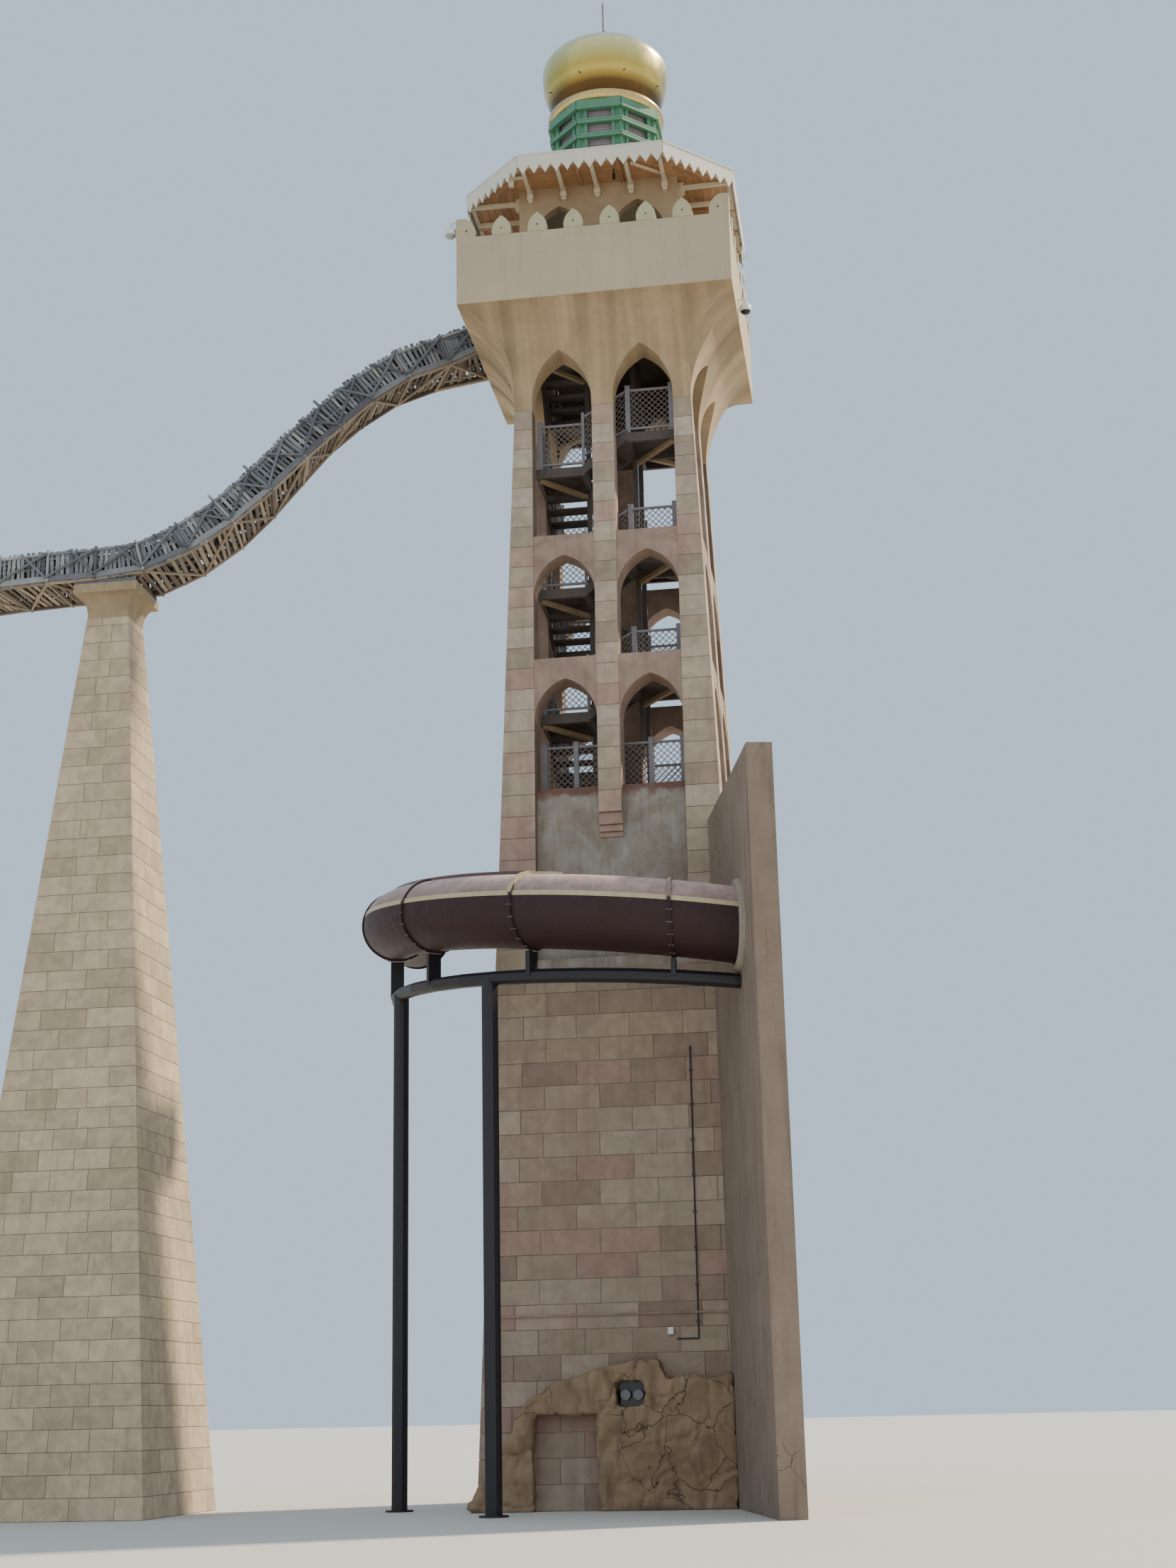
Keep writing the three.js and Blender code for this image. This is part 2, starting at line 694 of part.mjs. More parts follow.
// the gap in the left parapet where riders step into the chute, open up past the merlons
const chuteClear = () => chuteRun([
  [-CHUTE_HALF - 15, -0.5], [0, -0.5], [CHUTE_HALF + 15, -0.5],
  [CHUTE_HALF + 15, 1800], [-CHUTE_HALF - 15, 1800],
], 30, 0.04, 450);

// The pier under the chute
const PIER = {
  x: -10430, y: -1765, neck: 437, lean: 0.09, neckAt: 17730, capFoot: 18220, capTop: 18420, cap: 680,
};

const squareRing = (h, z) => [[-h, -h], [h, -h], [h, h], [-h, h]].map(([x, y]) =>
  new THREE.Vector3(PIER.x + x, PIER.y + y, z));

const pierShaft = () => skin([
  squareRing(PIER.neck + PIER.lean * PIER.neckAt, 0),
  squareRing(PIER.neck, PIER.neckAt),
]);

const pierCap = () => {
  const rings = [squareRing(PIER.neck, PIER.neckAt)];
  for (let i = 1; i <= 7; i += 1) {
    const t = i / 7;
    const out = (1 - Math.sqrt(1 - t * t)) * (PIER.cap - 40 - PIER.neck);
    rings.push(squareRing(PIER.neck + out, PIER.neckAt + (PIER.capFoot - PIER.neckAt) * t));
  }
  rings.push(squareRing(PIER.cap, PIER.capFoot + 10));
  rings.push(squareRing(PIER.cap, PIER.capTop));
  return skin(rings);
};

// the timbers between the pier's cap and the chute, up to the chute's underside there
const SEAT_TOP = 18559.2;
const chuteSeat = () => {
  const low = PIER.capTop;
  const high = SEAT_TOP;
  const x = PIER.x;
  const y = PIER.y;
  const parts = [];
  [-420, 420].forEach((d) => parts.push(box(x + d - 60, x + d + 60, y - 640, y + 640, low, high)));
  [-480, 480].forEach((d) => parts.push(box(x - 420, x + 420, y + d - 50, y + d + 50, low, high - 40)));
  return join(parts);
};

// The tube slide and what holds it
const TUBE = { x: 1347, y: 487, z: 9959, bend: 6050, out: 675, wall: 20, fall: 0.141 };
// where the sections meet, in degrees about the bend's middle
const MARKS = [-189.5, -164.4, -139.1, -113.8, -88.5, -66];
const BEAM_END = -70;
const BEAM_FALL = 0.09;
const LINK_TOP = 12600;
const LINK_THICK = 450;
const LINK_LONG = 5450;

// the height of the tube's middle line, which falls towards the wall
const onFall = (degrees, fall = TUBE.fall) => {
  const along = THREE.MathUtils.degToRad(degrees + 90) * TUBE.bend;
  return TUBE.z - fall * along;
};

// a hollow bend with a raised rim at each end, angles in degrees about the bend's middle
const tubeSection = (from, to, rimmed = true) => {
  const rim = 1.1;
  const inner = TUBE.out - TUBE.wall;
  const lip = TUBE.out + 55;
  const last = rimmed ? lip : TUBE.out;
  const steps = 5;
  const along = [];
  for (let i = 0; i <= steps; i += 1) {
    along.push([from + (to - from) * i / steps, inner]);
  }
  along.push([to, last], [to - rim, last]);
  for (let i = rimmed ? 0 : 1; i <= steps; i += 1) {
    along.push([to - rim + (from - to + 2 * rim) * i / steps, TUBE.out]);
  }
  along.push([from + rim, lip], [from, lip]);
  const around = 24;
  const rings = [];
  for (let j = 0; j < around; j += 1) {
    const b = 2 * Math.PI * j / around;
    rings.push([...along].reverse().map(([degrees, r]) => {
      const a = THREE.MathUtils.degToRad(degrees);
      const reach = TUBE.bend + r * Math.cos(b);
      return new THREE.Vector3(
        TUBE.x + reach * Math.cos(a),
        TUBE.y + reach * Math.sin(a),
        onFall(degrees) + r * Math.sin(b),
      );
    }));
  }
  return skin(rings, true);
};

const onBend = (degrees, z, reach = TUBE.bend) => {
  const a = THREE.MathUtils.degToRad(degrees);
  return [TUBE.x + reach * Math.cos(a), TUBE.y + reach * Math.sin(a), z];
};

class BendCurve extends THREE.Curve {
  constructor(from, to, fall, drop) {
    super();
    this.from = from;
    this.to = to;
    this.fall = fall;
    this.drop = drop;
  }

  getPoint(t, target = new THREE.Vector3()) {
    const degrees = this.from + (this.to - this.from) * t;
    return target.set(...onBend(degrees, onFall(degrees, this.fall) - this.drop));
  }
}

const bendRod = (from, to, radius, steps, sides, fall = TUBE.fall, drop = 0) => {
  const shape = new THREE.Shape();
  shape.absarc(0, 0, radius, 0, 2 * Math.PI, false);
  return new THREE.ExtrudeGeometry(shape, {
    steps, curveSegments: sides, bevelEnabled: false, extrudePath: new BendCurve(from, to, fall, drop),
  });
};

const upright = (degrees, radius, z0, z1) => {
  const made = new THREE.CylinderGeometry(radius, radius, z1 - z0, 12);
  made.rotateX(Math.PI / 2);
  const [x, y] = onBend(degrees, 0);
  made.translate(x, y, (z0 + z1) / 2);
  return made;
};

// the shaft's outer form, a hair larger than the walls are
const grownShaft = () => {
  const grown = (z) => {
    const h = half(z) + GAP;
    return [[-h, -h], [h, -h], [h, h], [-h, h]].map(([x, y]) => new THREE.Vector3(x, y, z));
  };
  return skin([grown(-10), grown(SHAFT_TOP)]);
};

// the wall that the tube runs into, cut plain where the rest of the building is left out
const linkSlab = (grow, thick = LINK_THICK) => {
  const along = new THREE.Vector2(0.225, -0.974).normalize();
  const across = new THREE.Vector2(-along.y, along.x);
  const start = new THREE.Vector2(1799, -1762);
  const corner = (s, w) => {
    const p = start.clone().addScaledVector(along, s).addScaledVector(across, w);
    return [p.x, p.y];
  };
  const far = thick + grow;
  const plan = outline([corner(0, -grow), corner(LINK_LONG, -grow), corner(LINK_LONG, far), corner(0, far)]);
  return raised(plan, 0, LINK_TOP);
};

const linkWall = () => {
  const hole = bendRod(-90, -55, TUBE.out - TUBE.wall, 6, 12);
  return cut(linkSlab(0), [grownShaft(), hole]);
};

// Artificial rock against the foot of the front, with a tall niche and a small square one
const ROCK_FRONT = 2900;
const ROCK_LINE = [
  [-2740, 0], [-2560, 420], [-2330, 800], [-2000, 1330], [-1850, 1700], [-1500, 1980], [-1080, 2200],
  [-640, 2310], [-210, 2440], [300, 2560], [740, 2540], [860, 2200], [1100, 2290], [1650, 2240], [2100, 2330],
  [2700, 2250], [2700, 0],
];
const NICHE = { left: -1540, right: -410, foot: -10, top: 1640 };
const SMALL_NICHE = { left: -60, right: 470, foot: 1760, top: 2180 };

const rockwork = () => {
  const mass = alongY(outline([...ROCK_LINE].reverse()), -ROCK_FRONT, -HALF_TOP);
  const niche = (n) => box(n.left, n.right, -ROCK_FRONT - 10, -HALF_TOP, n.foot, n.top);
  const tall = niche(NICHE);
  const small = niche(SMALL_NICHE);
  return cut(mass, [tall, small, grownShaft(), linkSlab(GAP, 2000)]);
};

// the bent pipe under the tube, its two posts and the brackets that hold the tube's rims
const tubeFrame = () => {
  const drop = 1055;
  const middle = (degrees) => onFall(degrees, BEAM_FALL) - drop;
  const parts = [bendRod(-172, BEAM_END, 130, 12, 6, BEAM_FALL, drop)];
  [-123, -157].forEach((degrees) => {
    parts.push(upright(degrees, 150, 0, middle(degrees)));
    parts.push(upright(degrees, 260, 0, 30));
  });
  MARKS.slice(1, 5).forEach((degrees) => {
    const top = onFall(degrees) - TUBE.out - 55 - GAP - 45 * TUBE.fall;
    const bracket = box(-45, 45, -130, 130, middle(degrees), top);
    bracket.rotateZ(THREE.MathUtils.degToRad(degrees + 90));
    const [x, y] = onBend(degrees, 0);
    bracket.translate(x, y, 0);
    parts.push(bracket);
  });
  return cut(join(parts), [linkSlab(GAP, 2000)]);
};

// The assembly
const group = new THREE.Group();
group.name = 'water_slide_tower';
const add = (name, geometry, material) => {
  const mesh = new THREE.Mesh(geometry, material);
  mesh.name = name;
  group.add(mesh);
};

const SIDES = ['front', 'right', 'back', 'left'];
const CORNER_NAMES = ['front_left', 'front_right', 'back_right', 'back_left'];
const base = basePiece();
const corner = cornerPiece();
const screen = tracery();
const flare = flarePiece();
SIDES.forEach((side, q) => {
  add(`base_wall_${side}`, turned(base, q), FINISH.render);
  add(`corner_pier_${CORNER_NAMES[q]}`, turned(corner, q), FINISH.ashlar);
  add(`tracery_${side}`, turned(screen, q), FINISH.ashlar);
  add(`flare_${side}`, turned(flare, q), FINISH.plaster);
});
add('ground_floor', box(-INNER, INNER, -INNER, INNER, 0, 200), FINISH.render);
add('deck_floor', box(-INNER, INNER, -INNER, INNER, DECK - 200, DECK), FINISH.render);
add('head_floor', cut(headFloor(), [stairWell()]), FINISH.plaster);
SIDES.forEach((side, q) => {
  const edge = turned(parapet(q % 2 === 0), q);
  add(`parapet_${side}`, side === 'left' ? cut(edge, [chuteClear()]) : edge, FINISH.plaster);
  add(`room_wall_${side}`, turned(roomWall(q % 2 === 0), q), FINISH.plaster);
});
add('canopy_roof', canopyRoof(), FINISH.roof);
add('canopy_fringe', fringe(), FINISH.roof);
add('canopy_frame', canopyFrame(), FINISH.strut);
add('lantern_curb', octagonRing(LANTERN_R, LANTERN_R - 250, LANTERN_FOOT, LANTERN_RAILS), FINISH.lantern);
add('lantern_frame', lanternFrame(), FINISH.lantern);
add('lantern_louvres', lanternLouvres(), FINISH.louvre);
add('gold_ring', goldRing(), FINISH.gold);
add('gold_dome', dome(), FINISH.gold);
add('lightning_rod', rod(), FINISH.steel);
add('dome_camera', camera(-HEAD_HALF, -HEAD_HALF + 120, PARAPET_TOP + 270), FINISH.cover);
for (let turn = 0; turn < 4; turn += 1) {
  add(`stair_turn_${turn + 1}`, stairTurn(turn), FINISH.steel);
  add(`stair_rail_${turn + 1}`, stairRail(turn), FINISH.steel);
}
add('deck_rail', deckRail(), FINISH.steel);
add('chute_box', chuteBox(), FINISH.timber);
add('chute_flume', chuteRun(flumeProfile(), 30), FINISH.flume);
add('chute_seat', chuteSeat(), FINISH.timber);
add('pier_shaft', pierShaft(), FINISH.ashlar);
add('pier_cap', pierCap(), FINISH.plaster);
add('link_wall', linkWall(), FINISH.render);
add('front_rockwork', rockwork(), FINISH.rock);
for (let i = 0; i < 5; i += 1) {
  const section = tubeSection(MARKS[i] + 0.005, MARKS[i + 1] - 0.005, i < 4);
  add(`tube_section_${i + 1}`, i < 4 ? section : cut(section, [linkSlab(GAP, 2000)]), FINISH.tube);
}
add('tube_frame', tubeFrame(), FINISH.beam);

export default group;
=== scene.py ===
"""Looks of the water slide tower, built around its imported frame.

The stone facing, the chute's timber cladding, railing mesh, soffit boards, the smooth tube and dome, the
rock at the foot and every finish are made here, over the CAD solids. Lengths are metres in the frame's own
axes: X to the right along the front, Y away from it, Z up.
"""

import logging
import math
import random
from dataclasses import dataclass, field
from enum import Enum
from functools import cached_property
from typing import Any, Callable, Iterable, Sequence

import bmesh
import bpy
from mathutils import Matrix, Vector, noise


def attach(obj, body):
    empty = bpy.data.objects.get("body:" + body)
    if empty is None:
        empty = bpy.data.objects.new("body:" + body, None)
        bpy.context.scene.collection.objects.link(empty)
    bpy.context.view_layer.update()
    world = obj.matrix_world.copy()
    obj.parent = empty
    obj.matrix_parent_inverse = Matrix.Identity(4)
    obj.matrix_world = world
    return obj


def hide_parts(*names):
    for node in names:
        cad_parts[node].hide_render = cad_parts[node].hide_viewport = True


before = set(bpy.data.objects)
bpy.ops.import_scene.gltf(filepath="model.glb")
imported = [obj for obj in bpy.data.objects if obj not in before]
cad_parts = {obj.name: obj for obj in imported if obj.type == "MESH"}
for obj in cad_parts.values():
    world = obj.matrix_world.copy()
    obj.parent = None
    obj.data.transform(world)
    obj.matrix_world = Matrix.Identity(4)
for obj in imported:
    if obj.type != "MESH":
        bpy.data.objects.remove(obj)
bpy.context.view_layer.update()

LOG = logging.getLogger("tower")
Colour = tuple[float, float, float, float]
Form = bmesh.types.BMesh
Mesh = bpy.types.Mesh
Socket = bpy.types.NodeSocket
Stops = tuple[tuple[float, str], ...]

SIDES = ("front", "right", "back", "left")  # anticlockwise from above
UP = Vector((0, 0, 1))
RIGHT = Vector((1, 0, 0))
AWAY = Vector((0, 1, 0))

# Driving sizes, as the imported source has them: the shaft and its openings
STOREY = 2.7
INNER = 1.48
SHAFT_TOP = 21.8
HALF_TOP = 1.84
BATTER = 0.0356
DECK = 13.5
PANEL_FOOT = 10.0
MID_PIER = 0.23
CORBEL_FOOT = 12.97
FOOT_LEVELS = (12.97, 12.9, 12.66, 12.53, 12.43)  # tops and undersides of the courses under a middle pier
# The flare and the head
FLARE_TOP = 23.85
FLARE_OUT = 1.03
FLARE_LEDGE = 0.012
HEAD_HALF = 2.87
PARAPET_TOP = 25.4
MERLON_STEP = 0.763
ROOM_HALF = 1.72
CEILING = 27.0
ROOM_CEILING = 27.12
EAVE_HALF = 2.89
EAVE_FRONT = 1.54
# The lantern and its dome
LANTERN_RAILS = 27.75
LANTERN_TOP = 29.56
RAIL_PITCH = 0.37
RAIL_HIGH = 0.11
RING_HIGH = 0.26
DOME_R = 1.42
DOME_MID = 30.9
DOME_LOW = 1.71
DOME_TOP = 31.58
# The stair
STAIR_RISE = STOREY / 4
STAIR_WELL = 0.45
RAIL_AT = INNER - 0.085
# The tube slide and the wall that it runs into
TUBE_MIDDLE = Vector((1.347, 0.487, 9.959))
TUBE_BEND = 6.05
TUBE_OUT = 0.675
TUBE_FALL = 0.141
TUBE_MARKS = (-189.5, -164.4, -139.1, -113.8, -88.5, -66)
LINK_START = Vector((1.799, -1.762, 0))
LINK_ALONG = Vector((0.225, -0.974, 0)).normalized()
# The pier and the chute
PIER_MIDDLE = Vector((-10.43, -1.765, 0))
PIER_NECK = 0.437
PIER_NECK_AT = 17.73
PIER_LEAN = 0.09
CHUTE_HALF = 0.68
CHUTE_HIGH = 0.65
CHUTE_LINE = (
    (-2.645, 0.345, 24.16), (-3.05, 0.335, 24.12), (-3.49, 0.26, 23.96), (-4.47, -0.24, 23.44),
    (-5.49, -0.73, 22.53), (-6.35, -1.13, 21.48), (-7.3, -1.43, 20.28), (-8.23, -1.61, 19.39),
    (-9.2, -1.72, 18.82), (-10.0, -1.76, 18.58), (-10.9, -1.77, 18.56), (-12.2, -1.74, 18.55),
    (-13.6, -1.57, 18.545), (-15.2, -1.3, 18.54), (-17.0, -1.01, 18.53),
)

# What the finishes share
GLOSS_SPREAD = 0.07  # how far the relief moves the roughness up and down
COAT_ROUGHNESS = 0.12
RUN_STEP = 7.0  # the run attribute's second value grows by this from side to side of the flare


def half(z: float) -> float:
    """Returns half of the shaft's width at height z."""
    return HALF_TOP + BATTER * (SHAFT_TOP - z)


def polar(radius: float, angle: float, z: float) -> Vector:
    """Returns the place at a radius and an angle about the Z axis."""
    return Vector((radius * math.cos(angle), radius * math.sin(angle), z))


def turned(point: Sequence[float], quarter: int) -> Vector:
    """Turns a point about the tower's axis.

    Args:
        point: A place on the right hand side, X outwards and Y along the face.
        quarter: How many quarter turns, anticlockwise from above.

    Returns:
        The place on that side.
    """
    x, y, z = point
    turns = ((x, y), (-y, x), (-x, -y), (y, -x))
    return Vector((*turns[quarter % 4], z))


def per(millimetres: float) -> float:
    """Returns the noise scale that gives features of a size in millimetres."""
    return 1000.0 / millimetres


def srgb(code: str) -> Colour:
    """Turns a hex colour into Blender's linear one.

    Args:
        code: An sRGB colour such as #c9b08a.

    Returns:
        Linear red, green and blue, and an alpha of one.
    """
    parts = [int(code[i:i + 2], 16) / 255 for i in (1, 3, 5)]
    linear = [v / 12.92 if v <= 0.04045 else ((v + 0.055) / 1.055) ** 2.4 for v in parts]
    return (*linear, 1.0)


class Shader:
    """A node tree in the making."""

    def __init__(self, tree: bpy.types.NodeTree) -> None:
        """Starts from an empty tree."""
        self.tree = tree
        tree.nodes.clear()

    @cached_property
    def place(self) -> Socket:
        """The place in metres, which patterns follow."""
        return self.add("TexCoord", take="Object")

    def add(self, kind: str, settings: dict[Any, Any] | None = None, links: dict[Any, Socket] | None = None,
            take: str = "") -> Socket | None:
        """Adds one node.

        Args:
            kind: Blender's name of the node type, without its ShaderNode.
            settings: Values by an input's name or number, or by a property's name. "stops" fills a ramp.
            links: The sockets that go into inputs, by the input's name or number.
            take: The name of the output that is wanted, or nothing for the first one in use.

        Returns:
            That output's socket, or None for a node without outputs.
        """
        made = self.tree.nodes.new(f"ShaderNode{kind}")
        for key, value in (settings or {}).items():
            if key == "stops":
                ramp = made.color_ramp.elements
                while len(ramp) < len(value):
                    ramp.new(0.5)
                for element, (place, colour) in zip(ramp, value):
                    element.position, element.color = place, colour
            elif isinstance(key, int) or key in made.inputs:
                made.inputs[key].default_value = value
            else:
                setattr(made, key, value)
        for key, socket in (links or {}).items():
            self.tree.links.new(socket, made.inputs[key])
        return made.outputs[take] if take else next((out for out in made.outputs if out.enabled), None)

    def graded(self, base: Socket, pattern: Socket, spread: Sequence[float], toward: str = "") -> Socket:
        """Changes a colour where a pattern says so.

        Args:
            base: The colour to change.
            pattern: The pattern's level.
            spread: Two levels of the pattern, and the two amounts that they are spread to.
            toward: The hex colour that is mixed in by the amount, or nothing to multiply by the amount.

        Returns:
            The changed colour.
        """
        amount = self.add("MapRange", dict(enumerate(spread, 1)), {0: pattern})
        if toward:
            return self.add("Mix", {"data_type": "RGBA", 7: srgb(toward)}, {0: amount, 6: base})
        return self.add("Mix", {"data_type": "RGBA", "blend_type": "MULTIPLY", 0: 1.0}, {6: base, 7: amount})

    def banded(self, level: Socket, colours: Stops) -> Socket:
        """Returns the colour that a level has on a ramp of hex colours."""
        return self.add("ValToRGB", {"stops": [(p, srgb(c)) for p, c in colours]}, {0: level})


class Slot(Enum):
    """The record's material slots that pieces' finishes belong to."""

    ASHLAR = "ashlar"
    RENDER = "render"
    PLASTER = "plaster"
    ROCK = "rock"
    ROOF = "roof"
    STRUT = "strut"
    LANTERN = "lantern"
    LOUVRE = "louvre"
    GOLD = "gold"
    STEEL = "steel"
    COVER = "cover"
    TIMBER = "timber"
    TUBE = "tube"


@dataclass(frozen=True)
class Weather:
    """How dirt and rain have changed a surface: soft clouds of tone, and streaks that run down it.

    Where run is set, the streaks follow the mesh's own run attribute, so that they stay whole over a curve.
    """

    cloud_mm: float = 900
    cloud: float = 0.12
    streak_mm: float = 140
    streak_long: float = 14
    streak: float = 0.15
    stain: str = "#5d5246"
    # how much darker the foot is, fading out at low_top; on the shaft's stone it is partly damp and partly
    # painted shade
    low: float = 0.0
    low_top: float = 9.0
    run: bool = False

    def over(self, work: Shader, base: Socket) -> Socket:
        """Lays clouds, streaks and a darker foot over a colour; the darker foot is partly painted shade.

        Args:
            work: The shader in the making.
            base: The colour to start from.

        Returns:
            The changed colour.
        """
        cloud = work.add("TexNoise", {"Scale": per(self.cloud_mm), "Detail": 5.0, "Roughness": 0.6},
            {"Vector": work.place})
        base = work.graded(base, cloud, (0.3, 0.7, 1 - self.cloud, 1 + self.cloud))
        path = work.add("Attribute", {"attribute_name": "run"}, take="Vector") if self.run else work.place
        long = work.add("VectorMath", {"operation": "MULTIPLY", 1: (1, 1, 1 / self.streak_long)}, {0: path})
        streak = work.add("TexNoise", {"Scale": per(self.streak_mm), "Detail": 3.0}, {"Vector": long})
        base = work.graded(base, streak, (0.52, 0.72, 0.0, self.streak), self.stain)
        if not self.low:
            return base
        # darker towards the foot, partly painted shade
        height = work.add("SeparateXYZ", links={0: work.place}, take="Z")
        return work.graded(base, height, (0.0, self.low_top, self.low, 0.0), self.stain)


@dataclass(frozen=True)
class Finish:
    """A surface's substance: its name, colour, gloss, and the size and height of its texture."""

    name: str
    colour: str
    roughness: float = 0.85
    ior: float = 1.5
    metallic: float = 0.0
    weather: Weather = Weather()
    grain_mm: float = 25
    relief: float = 0.25
    relief_mm: float = 2.0
    coat: float = 0.0

    def colour_of(self, work: Shader) -> Socket:
        """Mottles the plain colour; a finish with a pattern has its own way.

        Args:
            work: The shader in the making.

        Returns:
            The colour.
        """
        flat = work.add("TexNoise", {"Scale": per(60), "Detail": 2.0}, {"Vector": work.place})
        light = srgb(self.colour)
        return work.add("Mix", {"data_type": "RGBA", 6: light, 7: tuple(v * 0.88 for v in light)}, {0: flat})

    def height_of(self, work: Shader) -> Socket:
        """Returns the surface's height for its relief."""
        return work.add("TexNoise", {"Scale": per(self.grain_mm), "Detail": 6.0, "Roughness": 0.65},
            {"Vector": work.place})

    def material(self) -> bpy.types.Material:
        """Makes the material, or finds it if it's there already.

        Returns:
            The material, with all its nodes.
        """
        found = bpy.data.materials.get(self.name)
        if found:
            return found
        made = bpy.data.materials.new(self.name)
        made.use_nodes = True
        work = Shader(made.node_tree)
        colour = self.weather.over(work, self.colour_of(work))
        height = self.height_of(work)
        gloss = (max(0.02, self.roughness - GLOSS_SPREAD), min(1.0, self.roughness + GLOSS_SPREAD))
        rough = work.add("MapRange", {1: 0.3, 2: 0.7, 3: gloss[0], 4: gloss[1]}, {0: height})
        bump = work.add("Bump", {"Strength": self.relief, "Distance": self.relief_mm / 1000},
            {"Height": height})
        settings = {"Metallic": self.metallic}
        if not self.metallic:
            settings["IOR"] = self.ior
        if self.coat:
            settings |= {"Coat Weight": self.coat, "Coat Roughness": COAT_ROUGHNESS}
        shader = work.add("BsdfPrincipled", settings, {"Base Color": colour, "Roughness": rough,
            "Normal": bump})
        work.add("OutputMaterial", links={"Surface": shader})
        made.diffuse_color = srgb(self.colour)
        return made


@dataclass(frozen=True)
class CutStone(Finish):
    """Sawn facing blocks: each has its own tone, a few of them pinkish, with cloudy bedding in the stone."""

    tones: Stops = ()
    bedding_mm: float = 260

    def colour_of(self, work: Shader) -> Socket:
        """Colours a block by its tone and clouds it with bedding of its own.

        Args:
            work: The shader in the making.

        Returns:
            The colour.
        """
        tone = work.add("Attribute", {"attribute_name": "tone"}, take="Fac")
        shift = work.add("VectorMath", {"operation": "SCALE", 3: 40.0}, {0: tone.node.outputs["Vector"]})
        own = work.add("VectorMath", links={0: work.place, 1: shift})
        bedding = work.add("TexNoise", {"Scale": per(self.bedding_mm), "Detail": 6.0, "Distortion": 0.6},
            {"Vector": own})
        return work.graded(work.banded(tone, self.tones), bedding, (0.35, 0.65, 0.86, 1.1))


@dataclass(frozen=True)
class StainedRender(Finish):
    """Cement render with broad patches of other tones, and a rusty band under the deck's broken edge."""

    patch: str = "#6f6a5e"
    patch_mm: float = 700
    rust: str = "#7a4a34"
    rust_from: float = 0.0
    rust_to: float = 0.0
    bold: float = 0.0
    bold_mm: float = 520
    bold_half: float = 2.9
    runs: tuple[tuple[float, float], ...] = ((0.31, 0.6), (0.353, 0.0), (0.385, 0.5), (0.54, 0.6),
        (0.603, 0.36), (0.67, 0.6), (0.78, 0.6), (0.802, 0.95), (0.83, 0.6), (1.0, 0.52))
    # the colour of painted shade on the faces the mesh marks, the flare's inner side
    inside: str = ""

    def colour_of(self, work: Shader) -> Socket:
        """Patches the colour and adds what the finish has: bold runs, painted shade on the inner side, a
        rusty band.

        Args:
            work: The shader in the making.

        Returns:
            The colour.
        """
        low = work.add("TexNoise", {"Scale": per(self.patch_mm), "Detail": 7.0, "Roughness": 0.7,
            "Distortion": 0.8}, {"Vector": work.place})
        mask = work.add("MapRange", {1: 0.38, 2: 0.62}, {0: low})
        base = work.add("Mix", {"data_type": "RGBA", 6: srgb(self.colour), 7: srgb(self.patch)}, {0: mask})
        if self.bold:
            base = self.run_down(work, base)
        # painted shade: marked faces are mixed toward the inside colour
        if self.inside:
            shelter = work.add("Attribute", {"attribute_name": "shelter"}, take="Fac")
            base = work.add("Mix", {"data_type": "RGBA", 7: srgb(self.inside)}, {0: shelter, 6: base})
        return self.rusted(work, base) if self.rust_to else base

    def run_down(self, work: Shader, base: Socket) -> Socket:
        """Draws the flare's broad runs: noise down all sides, and on the left the runs below the chute.

        Args:
            work: The shader in the making.
            base: The patched colour.

        Returns:
            The colour with its runs, and darker beside the left groin.
        """
        path = work.add("Attribute", {"attribute_name": "run"}, take="Vector")
        long = work.add("VectorMath", {"operation": "MULTIPLY", 1: (1, 1, 0.09)}, {0: path})
        broad = work.add("TexNoise", {"Scale": per(self.bold_mm), "Detail": 3.0}, {"Vector": long})
        base = work.graded(base, broad, (0.38, 0.62, 1 - self.bold, 1 + self.bold * 0.5))
        across = work.add("SeparateXYZ", links={0: path}, take="X")
        share = work.add("MapRange", {1: -self.bold_half, 2: self.bold_half}, {0: across})
        level = work.add("ValToRGB", {"stops": [(p, (v, v, v, 1)) for p, v in self.runs]}, {0: share})
        lift = work.add("MapRange", {3: 0.4, 4: 1.4}, {0: level})
        side = work.add("MapRange", {1: 2 * RUN_STEP, 2: 3 * RUN_STEP, 3: 0.3, 4: 1.0},
            {0: across.node.outputs["Y"]})
        base = work.add("Mix", {"data_type": "RGBA", "blend_type": "MULTIPLY"}, {0: side, 6: base, 7: lift})
        return work.graded(base, across, (-1.95, -1.75, 0.84, 1.0))

    def rusted(self, work: Shader, base: Socket) -> Socket:
        """Lays the rusty band, with a ragged edge.

        Args:
            work: The shader in the making.
            base: The colour without it.

        Returns:
            The colour with it.
        """
        height = work.add("SeparateXYZ", links={0: work.place}, take="Z")
        ragged = work.add("TexNoise", {"Scale": per(180), "Detail": 5.0}, {"Vector": work.place})
        lifted = work.add("Math", {"operation": "MULTIPLY_ADD", 1: -0.35}, {0: ragged, 2: height})
        return work.graded(base, lifted, (self.rust_from - 0.17, self.rust_to - 0.17, 0.0, 0.85), self.rust)


